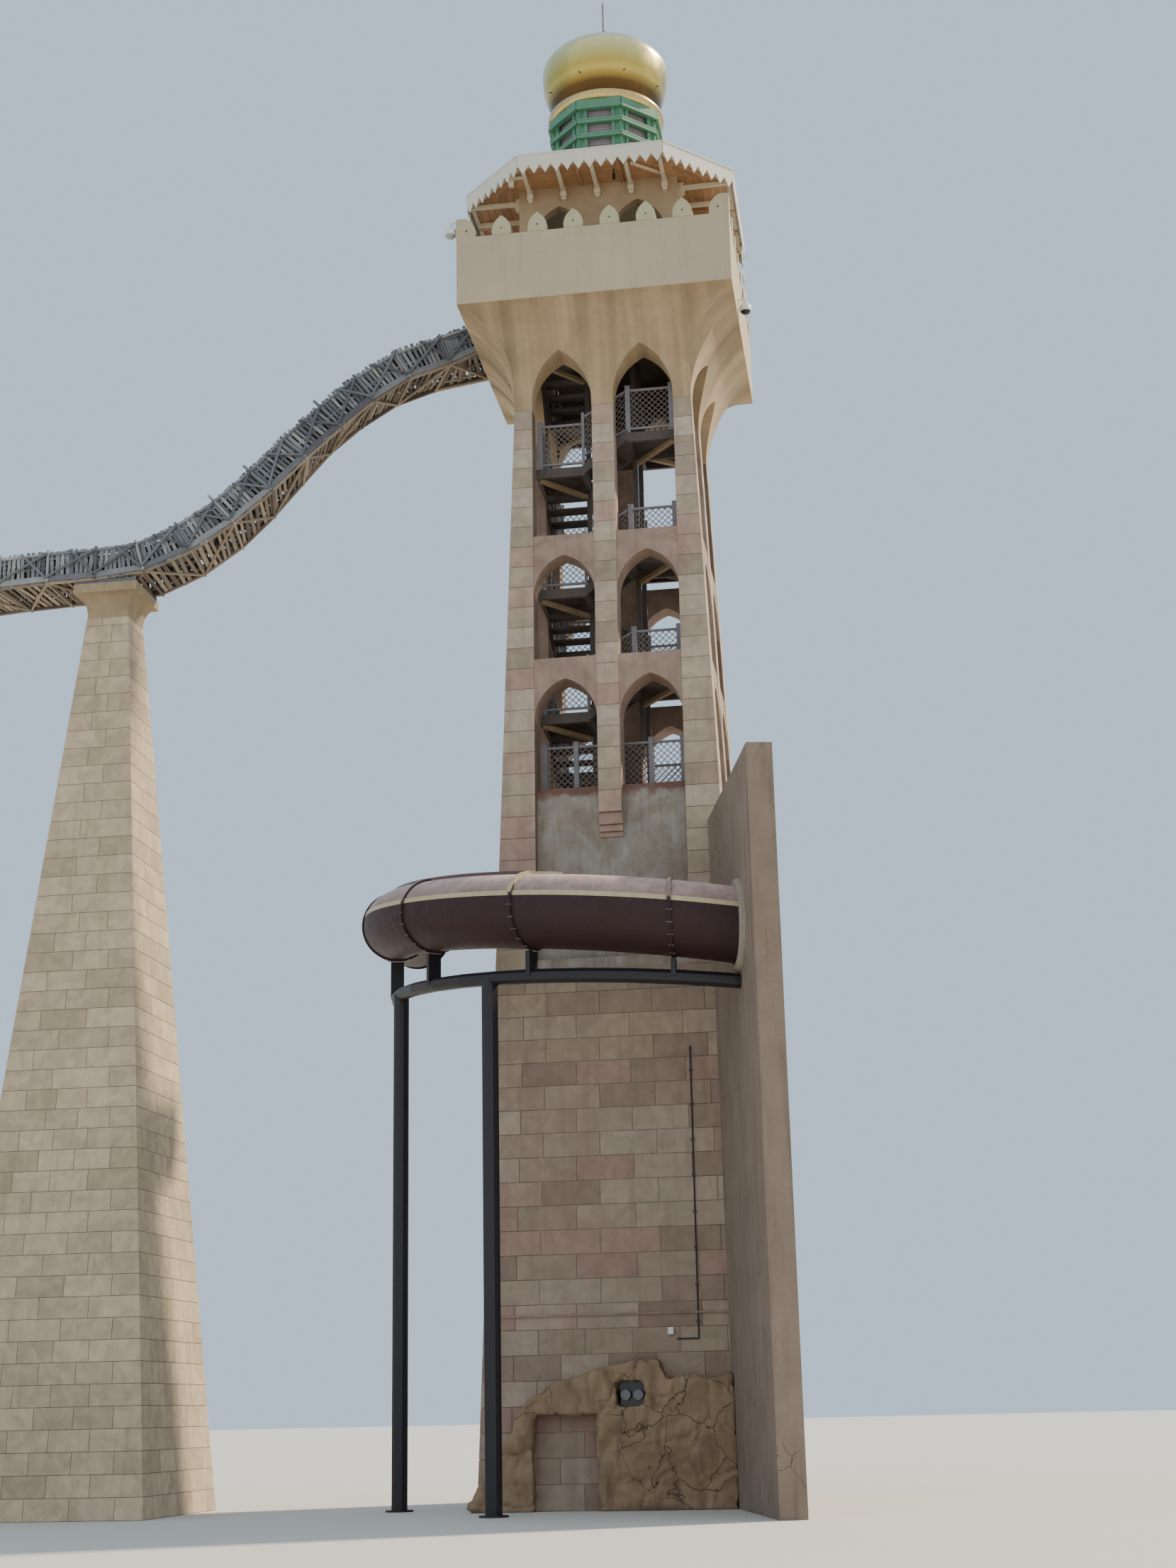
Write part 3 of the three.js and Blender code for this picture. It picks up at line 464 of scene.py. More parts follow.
@dataclass(frozen=True)
class CrackedRender(Finish):
    """Old cement render with a net of cracks, each a dark line that also dips in the relief."""

    crack_mm: float = 1500
    crack_width: float = 0.006
    crack_colour: str = "#3a2e26"

    def cracks(self, work: Shader) -> Socket:
        """Draws the cracks, some of them only.

        Args:
            work: The shader in the making.

        Returns:
            A level of one on a crack and nought beside it.
        """
        wander = work.add("TexNoise", {"Scale": per(500), "Detail": 4.0}, {"Vector": work.place}, "Color")
        bent = work.add("VectorMath", {"operation": "MULTIPLY_ADD", 1: (0.5, 0.5, 0.5)},
            {0: wander, 2: work.place})
        edge = work.add("TexVoronoi", {"feature": "DISTANCE_TO_EDGE", "Scale": per(self.crack_mm)},
            {"Vector": bent}, "Distance")
        line = work.add("MapRange", {1: 0.0, 2: self.crack_width, 3: 1.0, 4: 0.0}, {0: edge})
        where = work.add("TexNoise", {"Scale": per(2300), "Detail": 1.0}, {"Vector": work.place})
        some = work.add("MapRange", {1: 0.45, 2: 0.55}, {0: where})
        return work.add("Math", {"operation": "MULTIPLY"}, {0: line, 1: some})

    def colour_of(self, work: Shader) -> Socket:
        """Returns the plain colour with the cracks drawn in it."""
        links = {6: super().colour_of(work), 0: self.cracks(work)}
        return work.add("Mix", {"data_type": "RGBA", 7: srgb(self.crack_colour)}, links)

    def height_of(self, work: Shader) -> Socket:
        """Returns the grain's height, cut down where a crack runs."""
        links = {0: super().height_of(work), 1: self.cracks(work)}
        return work.add("Math", {"operation": "SUBTRACT"}, links)


@dataclass(frozen=True)
class Sawnwood(Finish):
    """Softwood left to the sun: each board has its own tone, with grain along its length."""

    tones: Stops = ()
    ring_mm: float = 9

    def colour_of(self, work: Shader) -> Socket:
        """Returns a board's tone, darkened along its grain."""
        tone = work.add("Attribute", {"attribute_name": "tone"}, take="Fac")
        return work.graded(work.banded(tone, self.tones), self.height_of(work), (0.3, 0.7, 0.7, 1.12))

    def height_of(self, work: Shader) -> Socket:
        """Raises the growth rings, drawn along each board's own length.

        Args:
            work: The shader in the making.

        Returns:
            The height.
        """
        own = work.add("Attribute", {"attribute_name": "grain"}, take="Vector")
        long = work.add("VectorMath", {"operation": "MULTIPLY", 1: (0.05, 1.0, 1.0)}, {0: own})
        return work.add("TexNoise", {"Scale": per(self.ring_mm), "Detail": 4.0}, {"Vector": long})


@dataclass(frozen=True)
class DustAndTopLightPaint(Finish):
    """Gloss paint or gelcoat, paler on what faces up unless a mesh marks it: the pale top is partly dusty
    and bleached and partly painted light, the darker rest partly painted shade.
    """

    dust_and_light: str = "#b9ada0"
    dust_and_light_share: float = 0.5
    dust_and_light_from: float = 0.2

    def colour_of(self, work: Shader) -> Socket:
        """Lays a pale, dusty colour on the paint where the surface looks up, partly as painted light.

        Args:
            work: The shader in the making.

        Returns:
            The colour.
        """
        # painted light and shade: faces that look up take the pale colour, which stands partly for sunlight
        # on them; the rest keep the darker base
        facing = work.add("NewGeometry", take="Normal")
        upward = work.add("SeparateXYZ", links={0: facing}, take="Z")
        stops = [(p, (v, v, v, 1)) for p, v in ((self.dust_and_light_from, 0),
            (self.dust_and_light_from + 0.04, self.dust_and_light_share * 0.45), (1.0, self.dust_and_light_share))]
        rise = work.add("ValToRGB", {"stops": stops}, {0: upward})
        clumps = work.add("TexNoise", {"Scale": per(220), "Detail": 5.0}, {"Vector": work.place})
        patchy = work.add("MapRange", {1: 0.25, 2: 0.75, 3: 0.75, 4: 1.15}, {0: clumps})
        lie = work.add("Math", {"operation": "MULTIPLY"}, {0: rise, 1: patchy})
        # faces that the mesh marks, such as the tube's inner skin, get neither the pale colour nor its
        # painted light
        shelter = work.add("Attribute", {"attribute_name": "shelter"}, take="Fac")
        left = work.add("Math", {"operation": "SUBTRACT", 0: 1.0}, {1: shelter})
        share = work.add("Math", {"operation": "MULTIPLY", "use_clamp": True}, {0: lie, 1: left})
        links = {0: share, 6: super().colour_of(work)}
        return work.add("Mix", {"data_type": "RGBA", 7: srgb(self.dust_and_light)}, links)


@dataclass(frozen=True)
class ReflectionBandedCoat(Finish):
    """A metal coat whose tone changes with height, as painted reflections of what lies below and above it.
    """

    foot: float = 0.0
    top: float = 1.0
    reflection_bands: Stops = ()

    def colour_of(self, work: Shader) -> Socket:
        """Colours the coat by its height between foot and top, which paints its reflections.

        Args:
            work: The shader in the making.

        Returns:
            The colour.
        """
        height = work.add("SeparateXYZ", links={0: work.place}, take="Z")
        level = work.add("MapRange", {1: self.foot, 2: self.top}, {0: height})
        return work.banded(level, self.reflection_bands)


# Sandstone-coloured blocks, sawn and weathered: matt, warm, each a slightly different tone, and darker
# towards the foot, partly damp and partly painted shade
SAWN_SANDSTONE = CutStone(
    "sawn_sandstone_blocks", "#a8957f", 0.88,
    weather=Weather(1300, 0.1, 160, 12, 0.3, "#7a6052", 0.45, 21.0),
    grain_mm=30, relief=0.35, relief_mm=3,
    tones=((0.0, "#8a7c6f"), (0.3, "#9d907e"), (0.6, "#a79b88"), (0.8, "#aea292"), (0.88, "#a99284"),
        (1.0, "#9e8579")),
)
# The same stone on the pier in lighter tones, partly a cleaner face and partly painted light, as the pier
# stands clear in the sun
PIER_SANDSTONE = CutStone(
    "pier_sandstone_blocks", "#b3a288", 0.88, weather=Weather(1500, 0.08, 180, 12, 0.2, "#7a6a56"),
    grain_mm=30, relief=0.35, relief_mm=3,
    tones=((0.0, "#a6967e"), (0.35, "#b1a088"), (0.7, "#b8a78d"), (1.0, "#bdad93")),
)
# Bare masonry behind the blocks and in the arch jambs: the same stone, unjointed and a little pinker
PLAIN_MASONRY = StainedRender(
    "rubbed_masonry", "#968275", 0.9, weather=Weather(800, 0.12, 120, 12, 0.3, "#6a5748"), grain_mm=24,
    relief=0.3, patch="#846f63", patch_mm=600,
)
# Bedding mortar and unfaced stone behind the blocks, dark in the joints and on the arches' jambs
BEDDING_MORTAR = StainedRender(
    "bedding_mortar", "#7c6a5c", 0.93, weather=Weather(800, 0.12, 120, 12, 0.3, "#4e4036"), grain_mm=24,
    relief=0.3, patch="#6b594e", patch_mm=600,
)
# Grey-green cement render that rain has streaked, floated by hand: matt with soft hollows
PANEL_RENDER = StainedRender(
    "rain_streaked_render", "#93908a", 0.93, weather=Weather(500, 0.14, 110, 9, 0.5, "#6a6154"), grain_mm=35,
    relief=0.6, relief_mm=5, patch="#827769", patch_mm=620, rust="#5f3a30", rust_from=13.26, rust_to=13.4,
)
# Smooth painted render on the head: pale cream-grey, faintly clouded
HEAD_PLASTER = Finish(
    "painted_smooth_render", "#b3a68c", 0.86, weather=Weather(1700, 0.06, 240, 10, 0.16, "#84755f"),
    grain_mm=16, relief=0.18, relief_mm=1.5,
)
# The flare under the head: the same render, warmer and more streaked where water runs off the parapet, with
# painted shade on its inner side
FLARE_PLASTER = StainedRender(
    "ochre_smooth_render", "#a99476", 0.88, weather=Weather(1200, 0.07, 150, 12, 0.3, "#86704b", run=True),
    grain_mm=18, relief=0.2, relief_mm=1.5, patch="#9b8668", patch_mm=1400, bold=0.26, inside="#4a4036",
)
# The room's walls behind the parapet, out of the rain: the same render, cleaner and a little warmer
ROOM_PLASTER = StainedRender(
    "sheltered_ochre_render", "#af9b7f", 0.88, weather=Weather(900, 0.08, 170, 6, 0.12, "#8f7653"),
    grain_mm=18, relief=0.2, relief_mm=1.5, patch="#a48f73", patch_mm=1400,
)
# The pier's spreading cap: the same render in a darker, tan tone
CAP_PLASTER = StainedRender(
    "tan_cap_render", "#9e8d71", 0.88, weather=Weather(600, 0.08, 150, 8, 0.25, "#6e5a42"), grain_mm=18,
    relief=0.2, relief_mm=1.5, patch="#928067", patch_mm=500,
)
# Merlons, cast pieces with a paler smooth coat
MERLON_PAINT = Finish(
    "pale_cast_merlon_paint", "#b0ac8c", 0.8, weather=Weather(400, 0.06, 90, 6, 0.2, "#8c8268"),
)
# Sheet roof edge and its zigzag fringe, painted off-white, chalking in the sun
CHALKY_ROOF_PAINT = Finish(
    "chalky_white_sheet_paint", "#d2cfc3", 0.62, weather=Weather(900, 0.04, 120, 6, 0.1, "#a89d8b"),
    grain_mm=40, relief=0.06,
)
# Orange-brown stained soffit boards
STAINED_SOFFIT = Sawnwood(
    "stained_soffit_boards", "#b27d52", 0.6, weather=Weather(900, 0.1, 120, 3, 0.06, "#6b4a2e"), relief=0.3,
    tones=((0.0, "#ac825e"), (0.5, "#bb9069"), (1.0, "#c69a74")), ring_mm=14,
)
# Cream painted timber struts
CREAM_STRUT_PAINT = Finish(
    "cream_painted_timber", "#d6cab2", 0.6, weather=Weather(300, 0.08, 60, 8, 0.15, "#95866b"),
)
# Sea-green paint on the lantern's steel frame, satin, a little faded
SEA_GREEN_PAINT = Finish(
    "sea_green_satin_paint", "#508468", 0.42, weather=Weather(500, 0.1, 60, 8, 0.25, "#4f6f60"), grain_mm=50,
    relief=0.06,
)
# Dull tinted sheet behind the lantern's frame
TINTED_PANEL = Finish(
    "dull_purple_tinted_sheet", "#8f898e", 0.3, weather=Weather(600, 0.14, 90, 8, 0.2, "#5f5354"),
    grain_mm=90, relief=0.03,
)
# Gold coated spun metal: polished, slightly wavy, so reflections break up softly
GOLD_METAL = Finish(
    "polished_gold_coat", "#cdb67a", 0.28, metallic=1.0, weather=Weather(700, 0.07, 200, 4, 0.22, "#8f7440"),
    grain_mm=260, relief=0.12, relief_mm=3, coat=0.2,
)
# The same coat on the dome, banded by height as painted reflections: dark brown low down under its overhang,
# where shaded ground is mirrored, and nearly white over its crown, where sky is
GILT_DOME = ReflectionBandedCoat(
    "gold_dome_coat_painted_reflections", "#c2ab6c", 0.3, metallic=1.0,
    weather=Weather(700, 0.05, 200, 4, 0.12, "#8f7a4c"), grain_mm=260, relief=0.1, relief_mm=3, coat=0.2,
    foot=29.82, top=31.58,
    reflection_bands=((0.0, "#4a3720"), (0.13, "#5e4827"), (0.21, "#a58a45"), (0.27, "#cdb45a"), (0.36, "#bda450"),
        (0.5, "#c6ba74"), (0.72, "#d8d2a6"), (1.0, "#e3e0be")),
)
# Grey paint over galvanised steel: stairs, rails and the rod
GREY_STEEL = Finish(
    "grey_painted_steel", "#77787a", 0.5, weather=Weather(300, 0.15, 60, 8, 0.35, "#4f463d"), grain_mm=30,
    relief=0.1,
)
# The same paint in pale lilac-grey on the railings' posts and rails
LILAC_STEEL = Finish(
    "lilac_grey_railing_paint", "#78777e", 0.5, weather=Weather(300, 0.12, 60, 8, 0.3, "#5a5250"),
    grain_mm=30, relief=0.1,
)
# Treads and stringers in the shade of the shaft: brown-grey paint dulled by shoes and dust
STAIR_STEEL = Finish(
    "dulled_stair_paint", "#4c4440", 0.62, weather=Weather(300, 0.15, 60, 8, 0.35, "#2e2622"), grain_mm=30,
    relief=0.15,
)
# The head's floor: bare concrete darkened from below by damp and from above by feet
DUSKY_CONCRETE = StainedRender(
    "dusky_floor_concrete", "#5c554c", 0.93, weather=Weather(700, 0.14, 160, 4, 0.3, "#3a322b"), grain_mm=25,
    relief=0.4, patch="#4a433c", patch_mm=700,
)
# Yellow-brown primer left showing on the stair's braces
PRIMED_STEEL = Finish(
    "ochre_primed_steel", "#867358", 0.65, weather=Weather(250, 0.15, 50, 5, 0.4, "#5a4630"), grain_mm=20,
    relief=0.15,
)
# Galvanised wire of the railing mesh, gone dull and brownish
WIRE_STEEL = Finish(
    "galvanised_wire", "#6f665e", 0.5, metallic=0.3, weather=Weather(200, 0.12, 40, 4, 0.2, "#5f5a52"),
    relief=0.05,
)
# Moulded white plastic of the cameras
WHITE_PLASTIC = Finish(
    "moulded_white_plastic", "#dcdedd", 0.38, ior=1.46, weather=Weather(120, 0.05, 30, 4, 0.15, "#8d8c86"),
    relief=0.04,
)
# Tinted acrylic bowls of the cameras, and near-black smoked ones behind lamps and bolts; the near-black one
# also makes the painted shade at the back of the rock's niche
GREY_ACRYLIC = Finish(
    "grey_tinted_acrylic", "#9aa0a3", 0.15, ior=1.49, weather=Weather(80, 0.1, 30, 4, 0.05), relief=0.02,
)
SMOKED_ACRYLIC = Finish(
    "smoked_acrylic", "#1b1d20", 0.12, ior=1.49, weather=Weather(80, 0.1, 30, 4, 0.05), relief=0.02,
)
# Poles and battens bleached grey by the sun: dry, silvery, open grain
SILVERED_TIMBER = Sawnwood(
    "silvered_softwood", "#77726c", 0.9, weather=Weather(400, 0.1, 60, 6, 0.2, "#4a443e"), relief=0.5,
    relief_mm=2, tones=((0.0, "#595c63"), (0.35, "#6f747b"), (0.75, "#878c92"), (1.0, "#a0a2a4")),
)
# The chute's underside, out of the sun: the same boards still tan
TAN_TIMBER = Sawnwood(
    "tan_softwood", "#a8926f", 0.88, weather=Weather(400, 0.12, 60, 6, 0.15, "#5d4f3e"), relief=0.5,
    relief_mm=2, tones=((0.0, "#62574e"), (0.3, "#7c7064"), (0.7, "#938576"), (1.0, "#aa9c8a")),
)
# Moulded glass fibre of the open flume: pale blue-grey on what looks up, and near-black painted shade on
# what looks sideways and down
FLUME_GELCOAT = DustAndTopLightPaint(
    "pale_flume_gelcoat", "#33363a", 0.25, ior=1.55, weather=Weather(600, 0.08, 100, 4, 0.15, "#5f6768"),
    relief=0.03, dust_and_light="#93a3a7", dust_and_light_share=1.0, dust_and_light_from=0.02,
)
# Maroon-brown moulded glass fibre of the tube: glossy and dark below, its darkness partly painted shade, and
# pale on top, partly dusty and faded and partly painted sunlight
MAROON_GELCOAT = DustAndTopLightPaint(
    "maroon_moulded_gelcoat", "#2f1519", 0.62, ior=1.43, grain_mm=140, relief=0.05,
    weather=Weather(500, 0.12, 90, 6, 0.2, "#241516"), dust_and_light="#d0b5ae", dust_and_light_share=0.88, dust_and_light_from=0.32,
)
# The rib along the tube's crown: the same gelcoat without the pale top, darker than the crown round it,
# which partly paints the shade along its face
WINE_GELCOAT = Finish(
    "wine_brown_gelcoat", "#5b3c3a", 0.35, ior=1.55, weather=Weather(500, 0.12, 90, 6, 0.25, "#36201f"),
    grain_mm=140, relief=0.05,
)
# Cream stripe moulded into the tube
CREAM_GELCOAT = Finish(
    "cream_gelcoat_stripe", "#b8a784", 0.4, ior=1.55, weather=Weather(300, 0.1, 60, 4, 0.2, "#7a6848"),
    relief=0.05,
)
# Dark blue enamel on the pipe under the tube
BLUE_ENAMEL = Finish(
    "dark_blue_enamel", "#16141d", 0.5, weather=Weather(400, 0.15, 70, 6, 0.25, "#15151c"), relief=0.05,
)
# Grey-beige wall beside the tube, cracked all over
LINK_RENDER = CrackedRender(
    "cracked_beige_render", "#847567", 0.92, weather=Weather(900, 0.14, 160, 10, 0.45, "#5a4b40"),
    grain_mm=30, relief=0.45, relief_mm=4, crack_mm=1300,
)
# Hand-moulded cement rock: tan with brown washes, rough
MOULDED_ROCK = CrackedRender(
    "moulded_cement_rock", "#8f7960", 0.95, weather=Weather(450, 0.22, 200, 4, 0.5, "#54402f"), grain_mm=40,
    relief=0.8, relief_mm=8, crack_mm=900, crack_width=0.012,
)
# Concrete collar round the tube's hole
BARE_CONCRETE = Finish(
    "bare_concrete_collar", "#928b80", 0.9, weather=Weather(300, 0.12, 80, 5, 0.3, "#6a5f52"), relief=0.4,
    grain_mm=15,
)
# The studio's painted floor
STUDIO_FLOOR = Finish(
    "pale_studio_floor", "#c9c7c1", 0.9, weather=Weather(4000, 0.01, 2000, 1, 0.01), relief=0.02,
)


def smooth_below(mesh: Mesh, degrees: float) -> None:
    """Shades a mesh smooth, with a crease wherever two faces meet at more than an angle.

    Args:
        mesh: The mesh to shade.
        degrees: The angle above which an edge stays sharp.
    """
    form = bmesh.new()
    form.from_mesh(mesh)
    for face in form.faces:
        face.smooth = True
    for edge in form.edges:
        edge.smooth = edge.calc_face_angle(math.pi) < math.radians(degrees)
    form.to_mesh(mesh)
    form.free()


def mark(mesh: Mesh, name: str, values: Sequence[float], kind: str = "FLOAT", on: str = "POINT") -> None:
    """Writes an attribute that finishes read."""
    made = mesh.attributes.new(name, kind, on)
    made.data.foreach_set("value" if kind == "FLOAT" else "vector", values)


def place_piece(name: str, mesh: Mesh, finish: Finish, slot: Slot, replaces: Iterable[str] = ()) -> None:
    """Makes a mesh into a piece of the tower.

    Args:
        name: The piece's name.
        mesh: Its mesh, in the frame's place and axes.
        finish: The finish it takes.
        slot: The record's slot that the finish belongs to; not used.
        replaces: The CAD nodes that it stands for.
    """
    mesh.name = name
    mesh.materials.clear()
    mesh.materials.append(finish.material())
    made = bpy.data.objects.new(name, mesh)
    bpy.context.scene.collection.objects.link(made)
    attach(made, "root")
    if replaces:
        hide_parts(*replaces)
    LOG.info("%s: %d faces", name, len(mesh.polygons))


def dress(nodes: Iterable[str], finish: Finish) -> None:
    """Gives CAD nodes that keep their own shape a better finish.

    Args:
        nodes: The nodes' names.
        finish: The finish for their material slots.
    """
    for name in nodes:
        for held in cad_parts[name].material_slots:
            held.material = finish.material()


def ring_faces(rows: int, size: int, close: bool = False, caps: bool = True) -> list[tuple[int, ...]]:
    """Numbers the faces that skin rings of points.

    Args:
        rows: How many rings there are.
        size: How many points each of them has.
        close: Whether the last ring joins the first one.
        caps: Whether open ends are closed by a face.

    Returns:
        The faces, by the points' numbers.
    """
    faces = []
    for i in range(rows if close else rows - 1):
        a, b = i * size, (i + 1) % rows * size
        for j in range(size):
            k = (j + 1) % size
            faces.append((a + j, a + k, b + k, b + j))
    if caps and not close:
        last = (rows - 1) * size
        faces += [tuple(range(size))[::-1], tuple(range(last, last + size))]
    return faces


class Gathered:
    """Many small closed solids gathered in one mesh, each with its own tone and grain directions."""

    def __init__(self, seed: int) -> None:
        """Starts an empty gathering with its own seeded draws."""
        self.points: list[Vector] = []
        self.faces: list[tuple[int, ...]] = []
        self.tones: list[float] = []
        self.grains: list[Vector] = []
        self.draw = random.Random(seed)

    def add(self, points: Sequence[Vector], faces: Iterable[Sequence[int]], tone: float | None = None,
            grains: Sequence[Vector] | None = None) -> None:
        """Adds one closed solid.

        Args:
            points: Its corners.
            faces: Its faces, by the corners' numbers.
            tone: Where its colour lies between the finish's darkest and lightest, or None for a draw.
            grains: Each corner's place along, across and through the solid, for the grain.
        """
        start = len(self.points)
        self.points.extend(points)
        self.faces.extend(tuple(start + i for i in face) for face in faces)
        own = self.draw.random() if tone is None else tone
        self.tones.extend([own] * len(points))
        shift = Vector((self.draw.random() * 30, self.draw.random() * 30, 0))
        self.grains.extend(g + shift for g in (grains or points))

    def rings(self, rings: Sequence[Sequence[Vector]], tone: float | None = None,
            grains: Sequence[Vector] | None = None, close: bool = False) -> None:
        """Adds a solid that is skinned over rings of points."""
        faces = ring_faces(len(rings), len(rings[0]), close)
        self.add([p for ring in rings for p in ring], faces, tone, grains)

    def board(self, start: Sequence[float], end: Sequence[float], side: Sequence[float], wide: float,
            thick: float, rough: float = 0.0, tone: float | None = None, quarter: int = 0) -> None:
        """Adds a straight board or bar.

        Args:
            start: The middle of one end.
            end: The middle of the other end.
            side: Roughly the direction of its width.
            wide: Its width.
            thick: Its thickness.
            rough: How far its corners stray, for hand-cut boards.
            tone: Its tone, or None for a draw.
            quarter: How many quarter turns about the tower's axis bring it to its side.
        """
        start, end, side = (turned(v, quarter) for v in (start, end, side))
        along = (end - start).normalized()
        across = (side - along * side.dot(along)).normalized()
        through = along.cross(across)
        rings, grains = [], []
        for place, far in ((start, 0.0), (end, (end - start).length)):
            ring = []
            for a, b in ((-1, -1), (1, -1), (1, 1), (-1, 1)):
                stray = Vector([self.draw.uniform(-rough, rough) for _ in range(3)])
                ring.append(place + across * (a * wide / 2) + through * (b * thick / 2) + stray)
                grains.append(Vector((far, a * wide / 2, b * thick / 2)))
            rings.append(ring)
        self.rings(rings, tone, grains)

    def pole(self, start: Sequence[float], end: Sequence[float], radius: float, sides: int = 8,
            bend: float = 0.0, tone: float | None = None, quarter: int = 0) -> None:
        """Adds a round pole, slightly crooked and tapered if it's asked for.

        Args:
            start: The middle of one end.
            end: The middle of the other end.
            radius: Its radius.
            sides: How many sides stand for the round.
            bend: How far its middle strays from straight.
            tone: Its tone, or None for a draw.
            quarter: How many quarter turns about the tower's axis bring it to its side.
        """
        start, end = turned(start, quarter), turned(end, quarter)
        along = (end - start).normalized()
        across = along.orthogonal().normalized()
        through = along.cross(across)
        length = (end - start).length
        spans = 3 if bend else 1
        lean = self.draw.uniform(0, math.tau)
        rings, grains = [], []
        for i in range(spans + 1):
            t = i / spans
            middle = start.lerp(end, t) + (across * math.cos(lean) + through * math.sin(lean)) * (bend *
                math.sin(math.pi * t))
            r = radius * (1.06 - 0.12 * t) if bend else radius
            angles = [math.tau * j / sides for j in range(sides)]
            rings.append([middle + (across * math.cos(a) + through * math.sin(a)) * r for a in angles])
            grains.extend(Vector((length * t, r * a, 0)) for a in angles)
        self.rings(rings, tone, grains)

    def place(self, name: str, finish: Finish, slot: Slot, degrees: float | None = None,
            replaces: Iterable[str] = ()) -> None:
        """Makes what was gathered into a piece of the tower.

        Args:
            name: The piece's name.
            finish: The finish it takes.
            slot: The record's slot that the finish belongs to.
            degrees: The angle above which edges stay sharp, or None for flat faces.
            replaces: The CAD nodes that it stands for.
        """
        made = bpy.data.meshes.new(name)
        made.from_pydata(self.points, [], self.faces)
        form = bmesh.new()
        form.from_mesh(made)
        bmesh.ops.recalc_face_normals(form, faces=form.faces)
        form.to_mesh(made)
        form.free()
        mark(made, "tone", self.tones)
        mark(made, "grain", [v for g in self.grains for v in g], "FLOAT_VECTOR")
        if degrees is not None:
            smooth_below(made, degrees)
        place_piece(name, made, finish, slot, replaces)


def skinned(rings: Sequence[Sequence[Vector]], close: bool = False) -> Form:
    """Skins rings of points into a closed form.

    Args:
        rings: Rings with equal numbers of points.
        close: Whether the last ring joins the first one, instead of a face at each end.

    Returns:
        The form, its faces all turned outwards.
    """
    form = bmesh.new()
    points = [form.verts.new(p) for ring in rings for p in ring]
    for face in ring_faces(len(rings), len(rings[0]), close):
        form.faces.new([points[i] for i in face])
    bmesh.ops.recalc_face_normals(form, faces=form.faces)
    return form


def as_mesh(form: Form, degrees: float | None = None) -> Mesh:
    """Writes a form to a new mesh.

    Args:
        form: The form, which is freed.
        degrees: The angle above which edges stay sharp, or None for flat faces.

    Returns:
        The mesh.
    """
    made = bpy.data.meshes.new("form")
    form.to_mesh(made)
    form.free()
    if degrees is not None:
        smooth_below(made, degrees)
    return made


def lathe(profile: Sequence[tuple[float, float]], around: int) -> Form:
    """Turns a profile of radii and heights about the Z axis.

    Args:
        profile: Radius and height of each point, from one end to the other; a radius of nought is a pole.
        around: How many steps go round.

    Returns:
        The closed form.
    """
    thin = 1e-4
    form = skinned([[polar(max(r, thin), math.tau * i / around, z) for i in range(around)]
        for r, z in profile])
    bmesh.ops.remove_doubles(form, verts=form.verts, dist=thin * 1.5)
    return form


def modified(mesh: Mesh, steps: Sequence[tuple[str, dict[str, Any]]]) -> Mesh:
    """Runs Blender's modifiers on a mesh.

    Args:
        mesh: The mesh, which keeps its shape.
        steps: The type of each modifier and its settings.

    Returns:
        The mesh that comes out.
    """
    work = bpy.data.objects.new("work", mesh)
    bpy.context.scene.collection.objects.link(work)
    for kind, settings in steps:
        made = work.modifiers.new(kind, kind)
        for key, value in settings.items():
            setattr(made, key, value)
    bpy.context.view_layer.update()
    left = bpy.data.meshes.new_from_object(work.evaluated_get(bpy.context.evaluated_depsgraph_get()))
    bpy.data.objects.remove(work)
    return left


def carved(mesh: Mesh, cutters: Sequence[Mesh]) -> Mesh:
    """Cuts closed meshes out of another one.

    Args:
        mesh: The mesh to cut.
        cutters: What is taken away.

    Returns:
        The mesh that is left.
    """
    tools = [bpy.data.objects.new("tool", cutter) for cutter in cutters]
    for tool in tools:
        bpy.context.scene.collection.objects.link(tool)
    steps = [("BOOLEAN", {"object": tool, "operation": "DIFFERENCE", "solver": "EXACT"}) for tool in tools]
    left = modified(mesh, steps)
    for tool in tools:
        bpy.data.objects.remove(tool)
    return left


def arch_outline(x0: float, x1: float, foot: float, apex: float, rise: float,
        steps: int = 14) -> list[tuple[float, float]]:
    """Draws a pointed arch.

    Args:
        x0: One jamb.
        x1: The other jamb.
        foot: The height of its foot.
        apex: The height of its point.
        rise: From the springing to the point.
        steps: Steps in each of its two curves.

    Returns:
        Its outline, anticlockwise.
    """
    width = x1 - x0
    radius = (width * width / 4 + rise * rise) / width
    spring = apex - rise
    sweep = math.asin(rise / radius)
    right = [(x1 - radius + radius * math.cos(sweep * i / steps),
        spring + radius * math.sin(sweep * i / steps)) for i in range(steps + 1)]
    left = [(x0 + x1 - x, z) for x, z in reversed(right)][1:]
    return [(x0, foot), (x1, foot), *right, *left]


def prism_y(outline: Sequence[tuple[float, float]], y0: float, y1: float) -> Form:
    """Gives an outline drawn in X and Z its depth along Y."""
    return skinned([[Vector((x, y, z)) for x, z in outline] for y in (y0, y1)])


